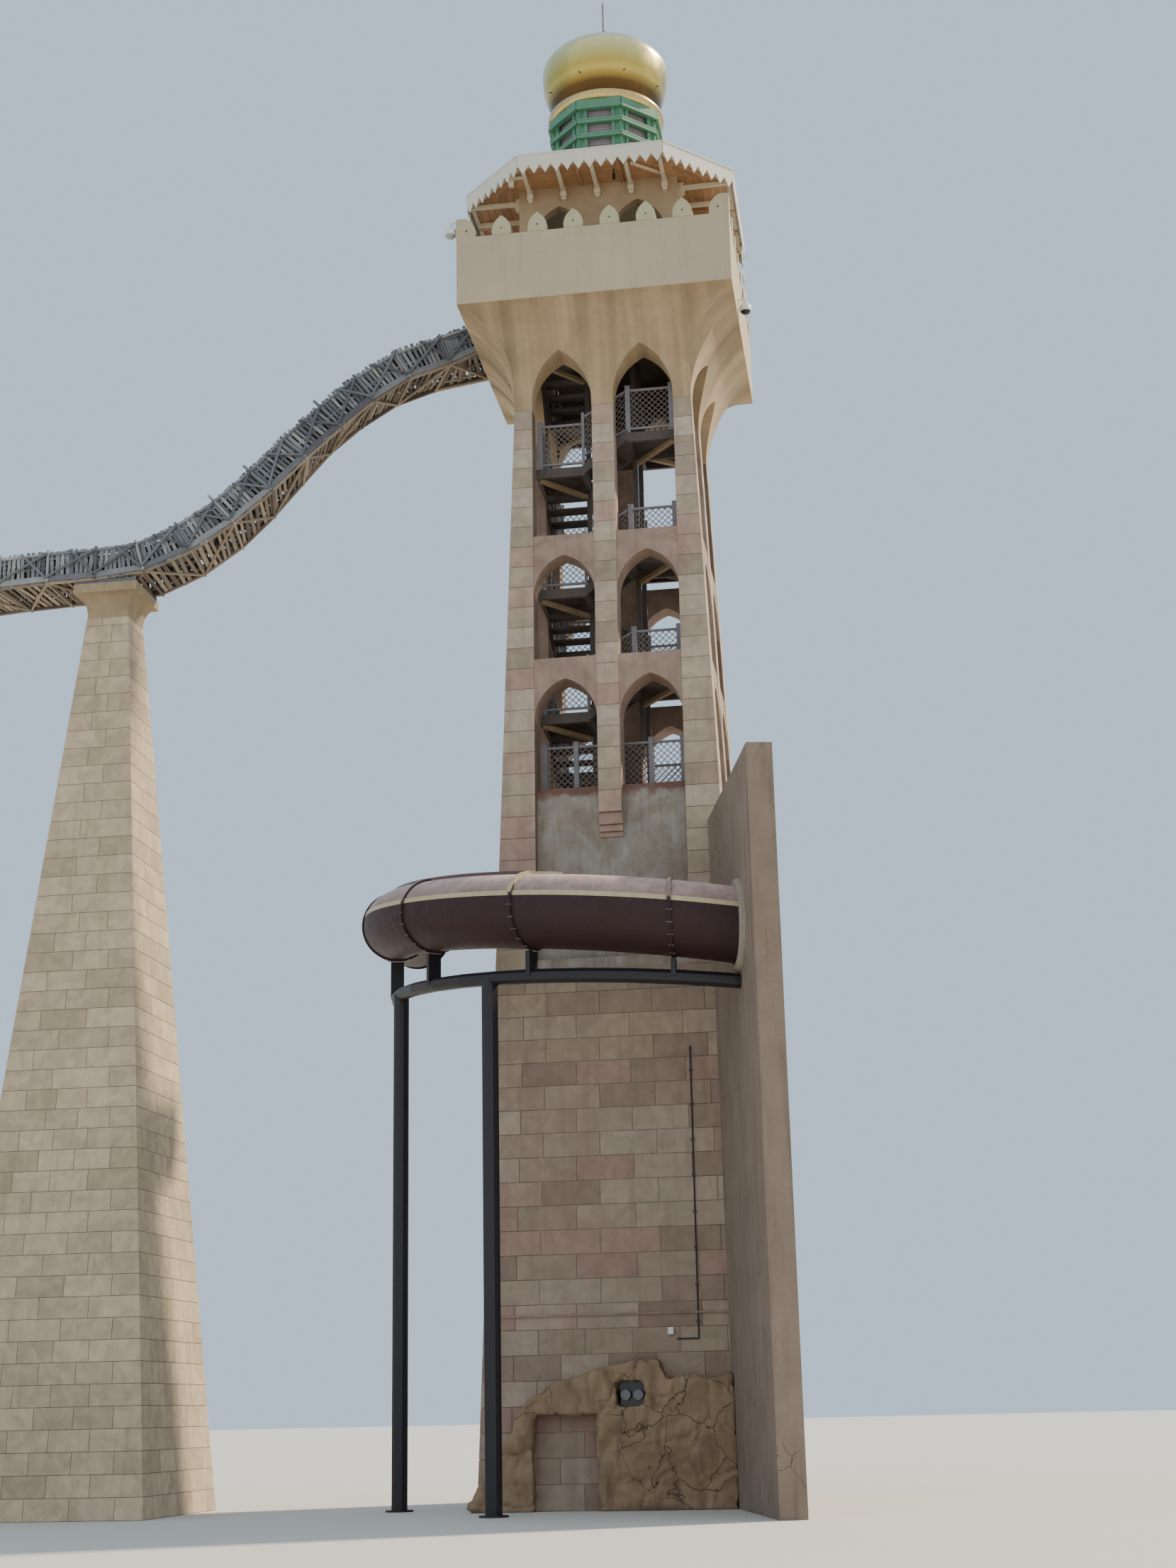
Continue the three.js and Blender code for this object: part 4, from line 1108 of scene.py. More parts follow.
@dataclass
class StoneFacing:
    """Facing blocks laid in courses on a battered square shaft, with open joints between them."""

    thick: float = 0.014
    arris: float = 0.004
    joint: float = 0.009
    sunk: float = 0.002
    width_at: Callable[[float], float] = half
    middle: Vector = field(default_factory=Vector)
    blocks: Gathered = field(default_factory=lambda: Gathered(7))

    def corner(self, end: tuple[int, float | None], z: float, proud: float, trim: float) -> Vector:
        """Finds a corner of a block.

        Args:
            end: The side and the distance along it from its middle; None is the arris after the side.
            z: The height.
            proud: How far it stands off the wall.
            trim: How far it's moved along the wall.

        Returns:
            The place.
        """
        quarter, u = end
        reach = self.width_at(z)
        if u is None:
            return turned((reach, reach, z), quarter) + self.middle + turned((1, 1, 0), quarter) * proud
        return turned((reach, u + trim, z), quarter) + self.middle + turned((1, 0, 0), quarter) * proud

    def block(self, run: Sequence[tuple[int, float | None]], z0: float, z1: float,
            tone: float | None = None) -> None:
        """Lays one block, flat or round an arris.

        Args:
            run: Its ends in order along the wall, each a side and a distance along it or None for the arris.
            z0: The course's foot.
            z1: The course's top.
            tone: Its tone, or None for a draw.
        """
        count, size = len(run), 2 * len(run)
        points = []
        for proud, inset in ((-self.sunk, 0.0), (self.thick - self.arris, 0.0), (self.thick, self.arris)):
            gap = self.joint / 2 + inset
            for z, order in ((z0 + gap, 1), (z1 - gap, -1)):
                points += [self.corner(end, z, proud, gap if i == 0 else -gap)
                    for i, end in enumerate(run)][::order]
        faces = ring_faces(3, size, caps=False)
        for level in (0, 2):
            for i in range(count - 1):
                faces.append(tuple(level * size + n for n in (i, i + 1, size - 2 - i, size - 1 - i)))
        self.blocks.add(points, faces, tone)

    def quoin(self, quarter: int, z0: float, z1: float, legs: tuple[float, float]) -> None:
        """Lays a corner block."""
        reach = self.width_at(z1)
        self.block([(quarter, reach - legs[0]), (quarter, None), (quarter + 1, -reach + legs[1])], z0, z1)

    def bonded(self, z0: float, z1: float, length: float, legs: tuple[float, float]) -> None:
        """Lays one course on all four sides.

        Args:
            z0: The course's foot.
            z1: The course's top.
            length: The usual length of a block.
            legs: The two legs of a corner block, which swap from course to course.
        """
        reach = self.width_at(z1)
        for quarter in range(4):
            self.quoin(quarter, z0, z1, legs)
            span = 2 * reach - sum(legs)
            count = max(1, round(span / length))
            for i in range(count):
                u0 = -reach + legs[1] + span * i / count
                self.block([(quarter, u0), (quarter, u0 + span / count)], z0, z1)


@dataclass
class Shaft:
    """The tower's shaft: stone facing, rendered panels, and the small things fixed to its front."""

    courses: int = 49
    base_block: float = 0.98
    quoin: tuple[float, float] = (1.0, 0.56)
    pink_share: float = 0.12
    foot_step: float = 0.062
    foot_proud: float = 0.014
    ledge_at: float = 3.36
    conduit_at: float = 1.42
    conduit_foot: float = 2.9
    conduit_top: float = 8.2
    conduit: float = 0.014
    clips: int = 8

    def build(self) -> None:
        """Lays the facing and dresses the solids behind it."""
        facing = StoneFacing()
        draw = facing.blocks.draw
        course = SHAFT_TOP / self.courses
        for n in range(self.courses):
            z0, z1 = n * course, (n + 1) * course
            if z1 <= PANEL_FOOT + 0.1:
                facing.bonded(z0, z1, self.base_block, self.quoin if n % 2 else self.quoin[::-1])
                continue
            for quarter in range(4):
                tone = draw.uniform(0.9, 1.0) if draw.random() < self.pink_share else draw.uniform(0.1, 0.88)
                facing.block([(quarter, INNER), (quarter, None), (quarter + 1, -INNER)], z0, z1, tone)
                if z0 >= CORBEL_FOOT - course:
                    facing.block([(quarter, -MID_PIER), (quarter, MID_PIER)], max(z0, FOOT_LEVELS[1]), z1)
        facing.blocks.place("shaft_facing_blocks", SAWN_SANDSTONE, Slot.ASHLAR)
        dress([f"base_wall_{side}" for side in SIDES], PANEL_RENDER)
        dress([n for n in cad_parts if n.startswith("corner_pier_")], BEDDING_MORTAR)
        dress(["ground_floor", "deck_floor"], PANEL_RENDER)
        self.feet()
        self.fixtures()

    def feet(self) -> None:
        """Gives each middle pier a foot that keeps its width and steps back to the panel."""
        stones = Gathered(16)
        for quarter, side in enumerate(SIDES):
            away = as_mesh(prism_y(
                [(-0.3, 12.0), (0.3, 12.0), (0.3, CORBEL_FOOT), (-0.3, CORBEL_FOOT)], -3, -1.2))
            away.transform(Matrix.Rotation(math.pi / 2 * quarter, 4, "Z"))
            mesh = carved(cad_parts[f"tracery_{side}"].data.copy(), [away])
            smooth_below(mesh, 28)
            place_piece(f"tracery_{side}_masonry", mesh, PLAIN_MASONRY, Slot.ASHLAR, [f"tracery_{side}"])
            for i, (top, low) in enumerate(zip(FOOT_LEVELS, FOOT_LEVELS[1:])):
                middle, proud = (top + low) / 2, self.foot_proud if i else 0.0
                face, back = half(middle) - self.foot_step * i + proud, half(middle) - 0.21
                ends = [((face + back) / 2, u, middle) for u in (-MID_PIER + 0.002, MID_PIER - 0.002)]
                stones.board(*ends, UP, top - low - (0.006 if i else 0), face - back, 0.002,
                    stones.draw.uniform(0.9, 1.0), quarter)
        stones.place("middle_pier_feet", SAWN_SANDSTONE, Slot.ASHLAR)

    def fixtures(self) -> None:
        """Adds the ledge, the conduit and its fitting on the front."""
        trim, pipe, lamp = Gathered(11), Gathered(12), Gathered(13)
        y = -half(self.ledge_at) - 0.025
        trim.board((-2.44, y, self.ledge_at), (2.3, y, self.ledge_at), AWAY, 0.05, 0.035)
        trim.place("front_ledge", PLAIN_MASONRY, Slot.ASHLAR)
        x, foot = self.conduit_at, self.conduit_foot
        pipe.pole(self.off_front(x, foot), self.off_front(x, self.conduit_top), self.conduit)
        pipe.pole(self.off_front(x + self.conduit, foot), self.off_front(x - 0.4, foot), self.conduit)
        for i in range(self.clips):
            z = foot + 0.3 + 0.65 * i
            pipe.board(self.off_front(x - 0.035, z), self.off_front(x + 0.035, z), UP, 0.03, 0.036)
        pipe.place("front_conduit", SMOKED_ACRYLIC, Slot.STEEL, 40)
        lamp.board(
            self.off_front(x - 0.5, foot + 0.08), self.off_front(x - 0.5, foot + 0.2), RIGHT, 0.1, 0.09)
        lamp.place("front_fitting", WHITE_PLASTIC, Slot.COVER)

    def off_front(self, x: float, z: float) -> Vector:
        """Returns a place just in front of the front's facing."""
        return Vector((x, -half(z) - 0.03, z))


@dataclass
class Flare:
    """The flare that carries the head, drawn finer than its solids so that its curves are smooth."""

    steps: int = 40
    bulge: float = 0.75
    corner_lag: float = 1.8
    arch_top: float = 22.98
    arch_rise: float = 1.0
    bead: float = 0.01

    def ring(self, t: float) -> list[Vector]:
        """Draws the plan of the front's piece.

        Args:
            t: The height, from nought at its foot to one at its top.

        Returns:
            Its outline, the outer corner on the left first.
        """
        sweep = FLARE_OUT - FLARE_LEDGE
        face = FLARE_LEDGE + sweep * (1 - math.cos(t * math.pi / 2) ** self.bulge)
        corner = FLARE_LEDGE + sweep * min(1.0, ((face - FLARE_LEDGE) / sweep) ** self.corner_lag)
        f, k = HALF_TOP + face, HALF_TOP + corner
        z = SHAFT_TOP + (FLARE_TOP - SHAFT_TOP) * t
        plan = ((-k, -k), (-HALF_TOP, -f), (HALF_TOP, -f), (k, -k), (INNER, -INNER), (-INNER, -INNER))
        return [Vector((x, y, z)) for x, y in plan]

    def build(self) -> None:
        """Makes the four pieces with their arches cut through, and a thin bead up each of their hips."""
        rings = [self.ring(i / self.steps) for i in range(self.steps + 1)]
        beads = Gathered(15)
        for quarter, side in enumerate(SIDES):
            cutters = []
            for x0, x1 in ((-INNER + 0.001, -MID_PIER), (MID_PIER, INNER - 0.001)):
                arch = arch_outline(x0, x1, SHAFT_TOP - 0.01, self.arch_top, self.arch_rise)
                cutters.append(as_mesh(prism_y(arch, -4, -1)))
            mesh = carved(as_mesh(skinned(rings)), cutters)
            runs = [v for p in mesh.vertices for v in (p.co.x, RUN_STEP * quarter, p.co.z)]
            # faces that look into the tower, marked so the finish paints shade on them
            inner = [float(f.normal.y > 0.9) for f in mesh.polygons]
            mesh.transform(Matrix.Rotation(math.pi / 2 * quarter, 4, "Z"))
            smooth_below(mesh, 28)
            mark(mesh, "run", runs, "FLOAT_VECTOR")
            mark(mesh, "shelter", inner, on="FACE")
            place_piece(f"flare_{side}_render", mesh, FLARE_PLASTER, Slot.PLASTER, [f"flare_{side}"])
            for low, high in zip(rings, rings[1:-1]):
                beads.pole(low[0], high[0], self.bead, 6, quarter=quarter)
        beads.place("flare_hip_beads", ROOM_PLASTER, Slot.PLASTER, 60)


class ChuteLine:
    """The middle line of the chute's underside, smooth through its points and measured by its length."""

    steps: int = 24

    def __init__(self) -> None:
        """Samples the curve closely from the head outwards."""
        knots = [Vector(p) for p in CHUTE_LINE]
        knots = [2 * knots[0] - knots[1], *knots, 2 * knots[-1] - knots[-2]]
        self.places = [knots[1]]
        for i in range(1, len(knots) - 2):
            self.places += [self.between(knots[i - 1:i + 3], n / self.steps)
                for n in range(1, self.steps + 1)]
        self.lengths = [0.0]
        for a, b in zip(self.places, self.places[1:]):
            self.lengths.append(self.lengths[-1] + (b - a).length)
        self.length = self.lengths[-1]

    @staticmethod
    def between(four: Sequence[Vector], t: float) -> Vector:
        """Follows a centripetal curve through four points.

        Args:
            four: The points.
            t: How far it is from the second point to the third one, nought to one.

        Returns:
            The place.
        """
        d0, d1, d2 = ((b - a).length ** 0.5 for a, b in zip(four, four[1:]))
        p0, p1, p2, p3 = four
        out = ((p1 - p0) / d0 - (p2 - p0) / (d0 + d1) + (p2 - p1) / d1) * d1
        into = ((p2 - p1) / d1 - (p3 - p1) / (d1 + d2) + (p3 - p2) / d2) * d1
        square, cube = t * t, t * t * t
        return p1 + out * t + (3 * (p2 - p1) - 2 * out - into) * square + (2 * (p1 - p2) + out + into) * cube

    def at(self, distance: float) -> tuple[Vector, Vector, Vector, Vector]:
        """Finds a station of the chute.

        Args:
            distance: Its distance along the line from the head; beyond the ends the line runs on straight.

        Returns:
            The place, and the directions along, to the right and up.
        """
        last = len(self.places) - 2
        low = next((i - 1 for i, s in enumerate(self.lengths) if s > distance), last)
        low = max(0, min(last, low))
        a, b = self.places[low], self.places[low + 1]
        along = (b - a).normalized()
        right = Vector((along.y, -along.x, 0)).normalized()
        return a + along * (distance - self.lengths[low]), along, right, right.cross(along)

    def point(self, distance: float, a: float, b: float) -> Vector:
        """Returns the place a to the right of and b above a station."""
        place, _, right, up = self.at(distance)
        return place + right * a + up * b


@dataclass
class Chute:
    """The open chute: battens on both sides and below, poles over them, and the seat on the pier."""

    start: float = 0.27
    panel: float = 1.02
    batten: float = 0.072
    batten_pitch: float = 0.104
    slat: float = 0.08
    slat_pitch: float = 0.14
    seat_at: float = 18.421
    seat_post_pitch: float = 0.15
    around: int = 8
    upright: float = 0.032
    zigzag: float = 0.03
    prop: float = 0.028
    cross: float = 0.034
    crook: float = 0.012
    pole_off: float = 0.03
    tall_share: float = 0.35
    tall_end: float = 0.12
    short_end: float = 0.02
    shortest_panel: float = 0.5
    cross_half: float = 0.66
    line: ChuteLine = field(default_factory=ChuteLine)

    def build(self) -> None:
        """Makes the cladding and dresses the flume."""
        self.sides()
        self.underside()
        self.poles()
        dress(["chute_flume"], FLUME_GELCOAT)
        dress(["chute_seat"], TAN_TIMBER)
        self.seat()

    def sides(self) -> None:
        """Nails upright battens along both sides, with ragged tops and rails behind them."""
        boards = Gathered(21)
        draw = boards.draw
        point, length = self.line.point, self.line.length
        for sign in (-1, 1):
            out = sign * (CHUTE_HALF - 0.012)
            for n in range(int((length - self.start) / self.batten_pitch) + 1):
                s = min(self.start + n * self.batten_pitch + draw.uniform(-0.012, 0.012), length - 0.04)
                _, along, _, _ = self.line.at(s)
                top = CHUTE_HIGH + draw.uniform(-0.02, 0.03)
                foot = -0.02 + draw.uniform(-0.03, 0.02)
                skew = draw.uniform(-0.02, 0.02)
                wide = self.batten * draw.uniform(0.78, 1.15)
                boards.board(point(s - skew, out, foot), point(s + skew, out, top), along, wide, 0.022,
                    0.003)
            for high, deep in ((CHUTE_HIGH - 0.1, 0.07), (0.3, 0.05)):
                self.rail(boards, sign * (CHUTE_HALF - 0.045), high, deep, 0.04)
        boards.place("chute_side_battens", SILVERED_TIMBER, Slot.TIMBER, replaces=["chute_box"])

    def rail(self, boards: Gathered, out: float, high: float, deep: float, thick: float) -> None:
        """Lays a rail along the chute, one board a panel.

        Args:
            boards: What it's gathered in.
            out: Its distance to the right of the middle line.
            high: Its height over that line.
            deep: The board's width, upright.
            thick: The board's thickness.
        """
        for n in range(int(self.line.length / self.panel) + 1):
            a = self.start + n * self.panel
            b = min(self.start + (n + 1) * self.panel + 0.03, self.line.length)
            if b - a >= 0.1:
                _, _, _, up = self.line.at((a + b) / 2)
                boards.board(
                    self.line.point(a, out, high), self.line.point(b, out, high), up, deep, thick, 0.004)

    def underside(self) -> None:
        """Nails cross battens under the chute, with gaps that let the light through."""
        boards = Gathered(22)
        draw = boards.draw
        s = self.start
        while s < self.line.length - 0.05:
            _, along, _, _ = self.line.at(s)
            skew = draw.uniform(-0.05, 0.05)
            left, right = (CHUTE_HALF + draw.uniform(-0.05, 0.035) for _ in range(2))
            boards.board(self.line.point(s - skew, -left, -0.012), self.line.point(s + skew, right, -0.012),
                along, self.slat * draw.uniform(0.8, 1.2), 0.024, 0.003)
            s += self.slat_pitch * draw.uniform(0.85, 1.2)
        for out in (-0.45, 0.0, 0.45):
            self.rail(boards, out, 0.03, 0.05, 0.05)
        boards.place("chute_bottom_battens", TAN_TIMBER, Slot.TIMBER)

    def poles(self) -> None:
        """Lashes poles over the battens: uprights and zigzags on the sides, chords, and crosses below."""
        side, below = Gathered(23), Gathered(24)
        draw, point, length, sides = side.draw, self.line.point, self.line.length, self.around
        for n in range(int((length - self.start) / self.panel) + 1):
            s = self.start + n * self.panel
            t = min(s + self.panel, length)
            whole = t - s >= self.shortest_panel
            for sign in (-1, 1):
                out = sign * (CHUTE_HALF + self.pole_off)
                high = CHUTE_HIGH + (self.tall_end if draw.random() < self.tall_share else self.short_end)
                side.pole(point(s, out, -0.03), point(s, out, high), self.upright, sides, self.crook / 2)
                if whole:
                    out += sign * 0.035
                    head, foot = point(s, out, CHUTE_HIGH - 0.05), point(t, out, 0.06)
                    side.pole(head, foot, self.zigzag, sides, self.crook, draw.uniform(0, 0.4))
                    middle = (s + t) / 2 + draw.uniform(-0.08, 0.08)
                    foot, head = point(s + 0.02, out, 0.05), point(middle, out, CHUTE_HIGH - 0.02)
                    side.pole(foot, head, self.prop, sides, self.crook, draw.uniform(0, 0.4))
            if whole:
                flip = self.cross_half if n % 2 else -self.cross_half
                below.pole(point(s, -flip, -0.05), point(t, flip, -0.05), self.cross, sides, 0.01, 0.8)
                below.pole(point(s, -0.7, -0.06), point(s, 0.7, -0.06), self.zigzag, sides, self.crook / 2)
        for sign in (-1, 1):
            self.rail(side, sign * (CHUTE_HALF + 0.02), 0.04, 0.12, 0.03)
            self.rail(below, sign * (CHUTE_HALF - 0.03), -0.045, 0.05, 0.06)
            self.rail(side, sign * (CHUTE_HALF + 0.01), CHUTE_HIGH - 0.06, 0.05, 0.03)
        side.place("chute_side_poles", SILVERED_TIMBER, Slot.TIMBER, 50)
        below.place("chute_bottom_poles", TAN_TIMBER, Slot.TIMBER, 50)

    def seat(self) -> None:
        """Stands short posts and boards on the pier's cap, beside the chute."""
        made = Gathered(25)
        draw = made.draw
        for sign in (-1, 1):
            y = PIER_MIDDLE.y + sign * 0.6
            for n in range(9):
                x = PIER_MIDDLE.x - 0.6 + n * self.seat_post_pitch
                head = (x + draw.uniform(-0.02, 0.02), y, self.seat_at + draw.uniform(0.1, 0.2))
                made.board((x, y, self.seat_at), head, RIGHT, 0.07, 0.04, 0.003)
            ends = [(PIER_MIDDLE.x + u, y + sign * 0.03, 18.47) for u in (-0.65, 0.65)]
            made.board(*ends, UP, 0.09, 0.03, 0.003)
        made.place("chute_seat_boards", SILVERED_TIMBER, Slot.TIMBER)


@dataclass
class Pier:
    """The tapered pier under the chute: stone facing and a smooth spreading cap."""

    course: float = 0.39
    block: float = 0.8
    cap: float = 0.68
    cap_foot: float = 18.22
    cap_top: float = 18.42
    cap_steps: int = 18

    def build(self) -> None:
        """Lays the facing and makes the cap."""
        facing = StoneFacing(0.01, 0.003, width_at=lambda z: PIER_NECK + PIER_LEAN * (PIER_NECK_AT - z),
            middle=PIER_MIDDLE, blocks=Gathered(31))
        for n in range(int(PIER_NECK_AT / self.course) + 1):
            z0, z1 = n * self.course, min((n + 1) * self.course, PIER_NECK_AT)
            reach = facing.width_at(z1)
            legs = (min(0.95, reach * 1.05), min(0.5, reach * 0.62))
            if 2 * reach - sum(legs) < 0.55:
                legs = (reach * 1.25, reach * 0.75)
                for quarter in range(4):
                    facing.quoin(quarter, z0, z1, legs if n % 2 else legs[::-1])
            else:
                facing.bonded(z0, z1, self.block, legs if n % 2 else legs[::-1])
        facing.blocks.place("pier_facing_blocks", PIER_SANDSTONE, Slot.ASHLAR)
        dress(["pier_shaft"], BEDDING_MORTAR)
        rings = [self.square(PIER_NECK, PIER_NECK_AT)]
        for i in range(1, self.cap_steps + 1):
            t = i / self.cap_steps
            out = (1 - math.sqrt(1 - t * t)) * (self.cap - 0.04 - PIER_NECK)
            rings.append(self.square(PIER_NECK + out, PIER_NECK_AT + (self.cap_foot - PIER_NECK_AT) * t))
        rings += [self.square(self.cap, self.cap_foot + 0.01), self.square(self.cap, self.cap_top)]
        place_piece("pier_cap_render", as_mesh(skinned(rings), 28), CAP_PLASTER, Slot.PLASTER, ["pier_cap"])

    def square(self, reach: float, z: float) -> list[Vector]:
        """Returns a square ring about the pier's middle."""
        return [PIER_MIDDLE + Vector((x * reach, y * reach, z))
            for x, y in ((-1, -1), (1, -1), (1, 1), (-1, 1))]


@dataclass
class Head:
    """The head: its parapets with their merlons' faces and bolts, the room and the floor."""

    bolt: float = 0.016
    cut_away: tuple[int, ...] = (-1, 0, 1)
    leaf: tuple[tuple[float, float], ...] = ((1, 0.008), (1.05, 0.11), (0.95, 0.215), (0.68, 0.32),
        (0.32, 0.4), (0, 0.45))
    leaf_half: float = 0.2

    def build(self) -> None:
        """Dresses the walls and lays the merlons' faces; those over the chute's gap are cut away."""
        dress([f"parapet_{side}" for side in SIDES], HEAD_PLASTER)
        dress([f"room_wall_{side}" for side in SIDES], ROOM_PLASTER)
        dress(["head_floor"], DUSKY_CONCRETE)
        faces, bolts = Gathered(41), Gathered(42)
        for quarter in range(4):
            for i in range(-3, 5):
                if quarter == 2 and i in self.cut_away:
                    continue
                x, corner = (i - 0.5) * MERLON_STEP, abs(i - 0.5) > 3
                edges = self.half_leaf(x) if corner else self.whole_leaf(x)
                if not (corner and quarter % 2):
                    for depth in (HEAD_HALF + 0.004, HEAD_HALF - 0.204):
                        faces.rings([[turned((d, u, z), quarter) for u, z in edges]
                            for d in (depth - 0.005, depth + 0.005)])
                place = math.copysign(3.5 * MERLON_STEP - 0.02, x) if corner else x
                ends = [(HEAD_HALF + out, place, PARAPET_TOP + 0.15) for out in (0.006, 0.018)]
                bolts.pole(*ends, self.bolt, 10, quarter=quarter)
        faces.place("merlon_faces", MERLON_PAINT, Slot.PLASTER)
        bolts.place("merlon_bolts", SMOKED_ACRYLIC, Slot.STEEL, 40)

    def whole_leaf(self, x: float) -> list[tuple[float, float]]:
        """Draws the outline of a merlon's face, a little inside the merlon's own."""
        edge = [(self.leaf_half * w * 0.97, PARAPET_TOP + up * 0.985) for w, up in self.leaf]
        return [(x + w, z) for w, z in edge] + [(x - w, z) for w, z in reversed(edge[:-1])]

    def half_leaf(self, x: float) -> list[tuple[float, float]]:
        """Draws the outline of a corner merlon's face, which ends upright at the head's corner.

        Args:
            x: Its place across the side; only the sign counts.

        Returns:
            Its points as (across, height).
        """
        sign, last, end = (1 if x > 0 else -1), 3.5 * MERLON_STEP, HEAD_HALF - 0.004
        inner = [(sign * (last - self.leaf_half * w * 0.97), PARAPET_TOP + up * 0.985)
            for w, up in self.leaf]
        return [(sign * end, PARAPET_TOP + 0.008), *inner, (sign * end, PARAPET_TOP + 0.443)]


@dataclass
class Canopy:
    """The roof over the head: soffit boards, edge trim, strut feet and the strip torn loose at its side."""

    board: float = 0.16
    board_gap: float = 0.01
    board_thick: float = 0.014
    strut_pitch: float = 0.73
    fringe_top: float = 27.21
    fringe_notch: float = 26.95
    fringe_tip: float = 26.75
    fringe_thick: float = 0.022
    # Each cover strip's place along the side and its width
    covers: tuple[tuple[float, float], ...] = ((-0.33, 0.05), (0.55, 0.09))
    # Both ends of the slanting beam, of its short end and of the speaker and its arm, and the thickness
    fittings: tuple[tuple[Any, ...], ...] = (((0.83, -2.62, 26.95), (1.42, -2.06, 26.98), UP, 0.05),
        ((1.42, -2.06, 26.98), (1.46, -1.95, 27.03), UP, 0.05),
        ((-1.75, -2.5, 26.74), (-1.75, -2.5, 27.0), RIGHT, 0.1),
        ((-1.75, -2.5, 26.93), (-1.46, -2.5, 26.93), UP, 0.05))
    lamp_x: float = 0.43
    lamp_y: float = -2.3
    # The foot, top, radius and sides of the lamp's rod and of its shade
    lamp: tuple[tuple[float, float, float, int], ...] = (
        (26.9, 27.04, 0.014, 10), (26.8, 26.93, 0.032, 16))
    torn_pieces: int = 9

    def build(self) -> None:
        """Dresses the roof and frame and adds the boards and trim."""
        dress(["canopy_roof"], CHALKY_ROOF_PAINT)
        dress(["canopy_frame"], CREAM_STRUT_PAINT)
        self.soffit()
        self.feet()
        self.fringe()
        self.under_roof()
        self.torn_strip()

    def soffit(self) -> None:
        """Nails boards under the roof's slopes, along each side and across each corner."""
        boards = Gathered(51)
        drop = ROOM_CEILING - CEILING
        slant = math.sqrt(0.5)
        deep, across = EAVE_HALF - ROOM_HALF, slant * (EAVE_HALF + EAVE_FRONT - 2 * ROOM_HALF)
        for quarter in range(4):
            for reach, margin, fall in ((deep, 0.05, (deep, 0, -drop)),
                    (across, 0.03, (1, 1, -drop / across / slant))):
                d = self.board / 2
                while d < reach - margin:
                    z = ROOM_CEILING - drop * d / reach - 0.008
                    if reach == deep:
                        end = ROOM_HALF - (ROOM_HALF - EAVE_FRONT) * d / deep
                        ends = [(ROOM_HALF + d, -end, z), (ROOM_HALF + d, end, z)]
                    else:
                        end = slant * (EAVE_HALF - EAVE_FRONT) * d / across * slant
                        middle = ROOM_HALF + d * slant
                        ends = [(middle + end, middle - end, z), (middle - end, middle + end, z)]
                    boards.board(*ends, fall, self.board - self.board_gap, self.board_thick, quarter=quarter)
                    d += self.board
        boards.place("canopy_soffit_boards", STAINED_SOFFIT, Slot.STRUT)

    def feet(self) -> None:
        """Sets a stepped block round the foot of each strut, on the room's wall."""
        blocks = Gathered(52)
        for quarter in range(4):
            for i in range(-2, 3):
                for low, high, wide in ((26.8, 26.93, 0.13), (26.74, 26.8, 0.09)):
                    ends = [(ROOM_HALF + wide / 2, i * self.strut_pitch, z) for z in (low, high)]
                    blocks.board(*ends, AWAY, wide, wide, quarter=quarter)
        blocks.place("strut_feet", CREAM_STRUT_PAINT, Slot.STRUT)

    def fringe(self) -> None:
        """Hangs the zigzag fringe round the roof's rim, tooth by tooth, with a bead along its top."""
        teeth, bead = Gathered(53), Gathered(55)
        rim = [self.rim(-EAVE_FRONT, EAVE_HALF), self.rim(EAVE_FRONT, EAVE_HALF),
            self.rim(EAVE_HALF, EAVE_FRONT)]
        for quarter in range(4):
            corners = [turned((d, u, 0), quarter) for u, d in rim]
            for start, end, count in zip(corners, corners[1:], (13, 8)):
                step = (end - start) / count
                out = Vector((step.y, -step.x, 0)).normalized()
                if out.dot(start) < 0:
                    out = -out
                for i in range(count):
                    face = [(i, self.fringe_top), (i + 1, self.fringe_top), (i + 1, self.fringe_notch),
                        (i + 0.5, self.fringe_tip), (i, self.fringe_notch)]
                    teeth.rings([[start + step * t + out * off + Vector((0, 0, z)) for t, z in face]
                        for off in (0.0, self.fringe_thick)])
                lift = Vector((0, 0, self.fringe_top)) + out * 0.014
                bead.board(start + lift, end + lift, UP, 0.03, 0.04)
        teeth.place("canopy_zigzag_fringe", CHALKY_ROOF_PAINT, Slot.ROOF, replaces=["canopy_fringe"])
        bead.place("canopy_rim_bead", CHALKY_ROOF_PAINT, Slot.ROOF)

    @staticmethod
    def rim(u: float, d: float) -> tuple[float, float]:
        """Moves a corner of the roof's rim just outside it.

        Args:
            u: Its place across.
            d: Its place outwards.

        Returns:
            The two moved places.
        """
        off, share = 0.004, math.tan(math.pi / 8)
        return (u + math.copysign(off * (share if abs(u) < abs(d) else 1), u),
            d + off * (share if abs(d) < abs(u) else 1))

    def under_roof(self) -> None:
        """Adds what hangs under the boards: cover strips, a slanting beam, a lamp and a speaker."""
        wood, metal, trim = Gathered(56), Gathered(57), Gathered(58)
        for quarter in range(4):
            for u, wide in self.covers:
                wood.board((ROOM_HALF, u, 27.085), (EAVE_HALF - 0.04, u, 26.97), AWAY, wide, 0.035,
                    quarter=quarter)
        wood.place("soffit_cover_strips", STAINED_SOFFIT, Slot.STRUT)
        for start, end, side, wide in self.fittings:
            trim.board(start, end, side, wide, wide)
        trim.place("canopy_speaker_and_brace", CREAM_STRUT_PAINT, Slot.STRUT)
        for low, high, radius, sides in self.lamp:
            metal.pole((self.lamp_x, self.lamp_y, low), (self.lamp_x, self.lamp_y, high), radius, sides)
        metal.place("canopy_hanging_lamp", SMOKED_ACRYLIC, Slot.STEEL, 40)

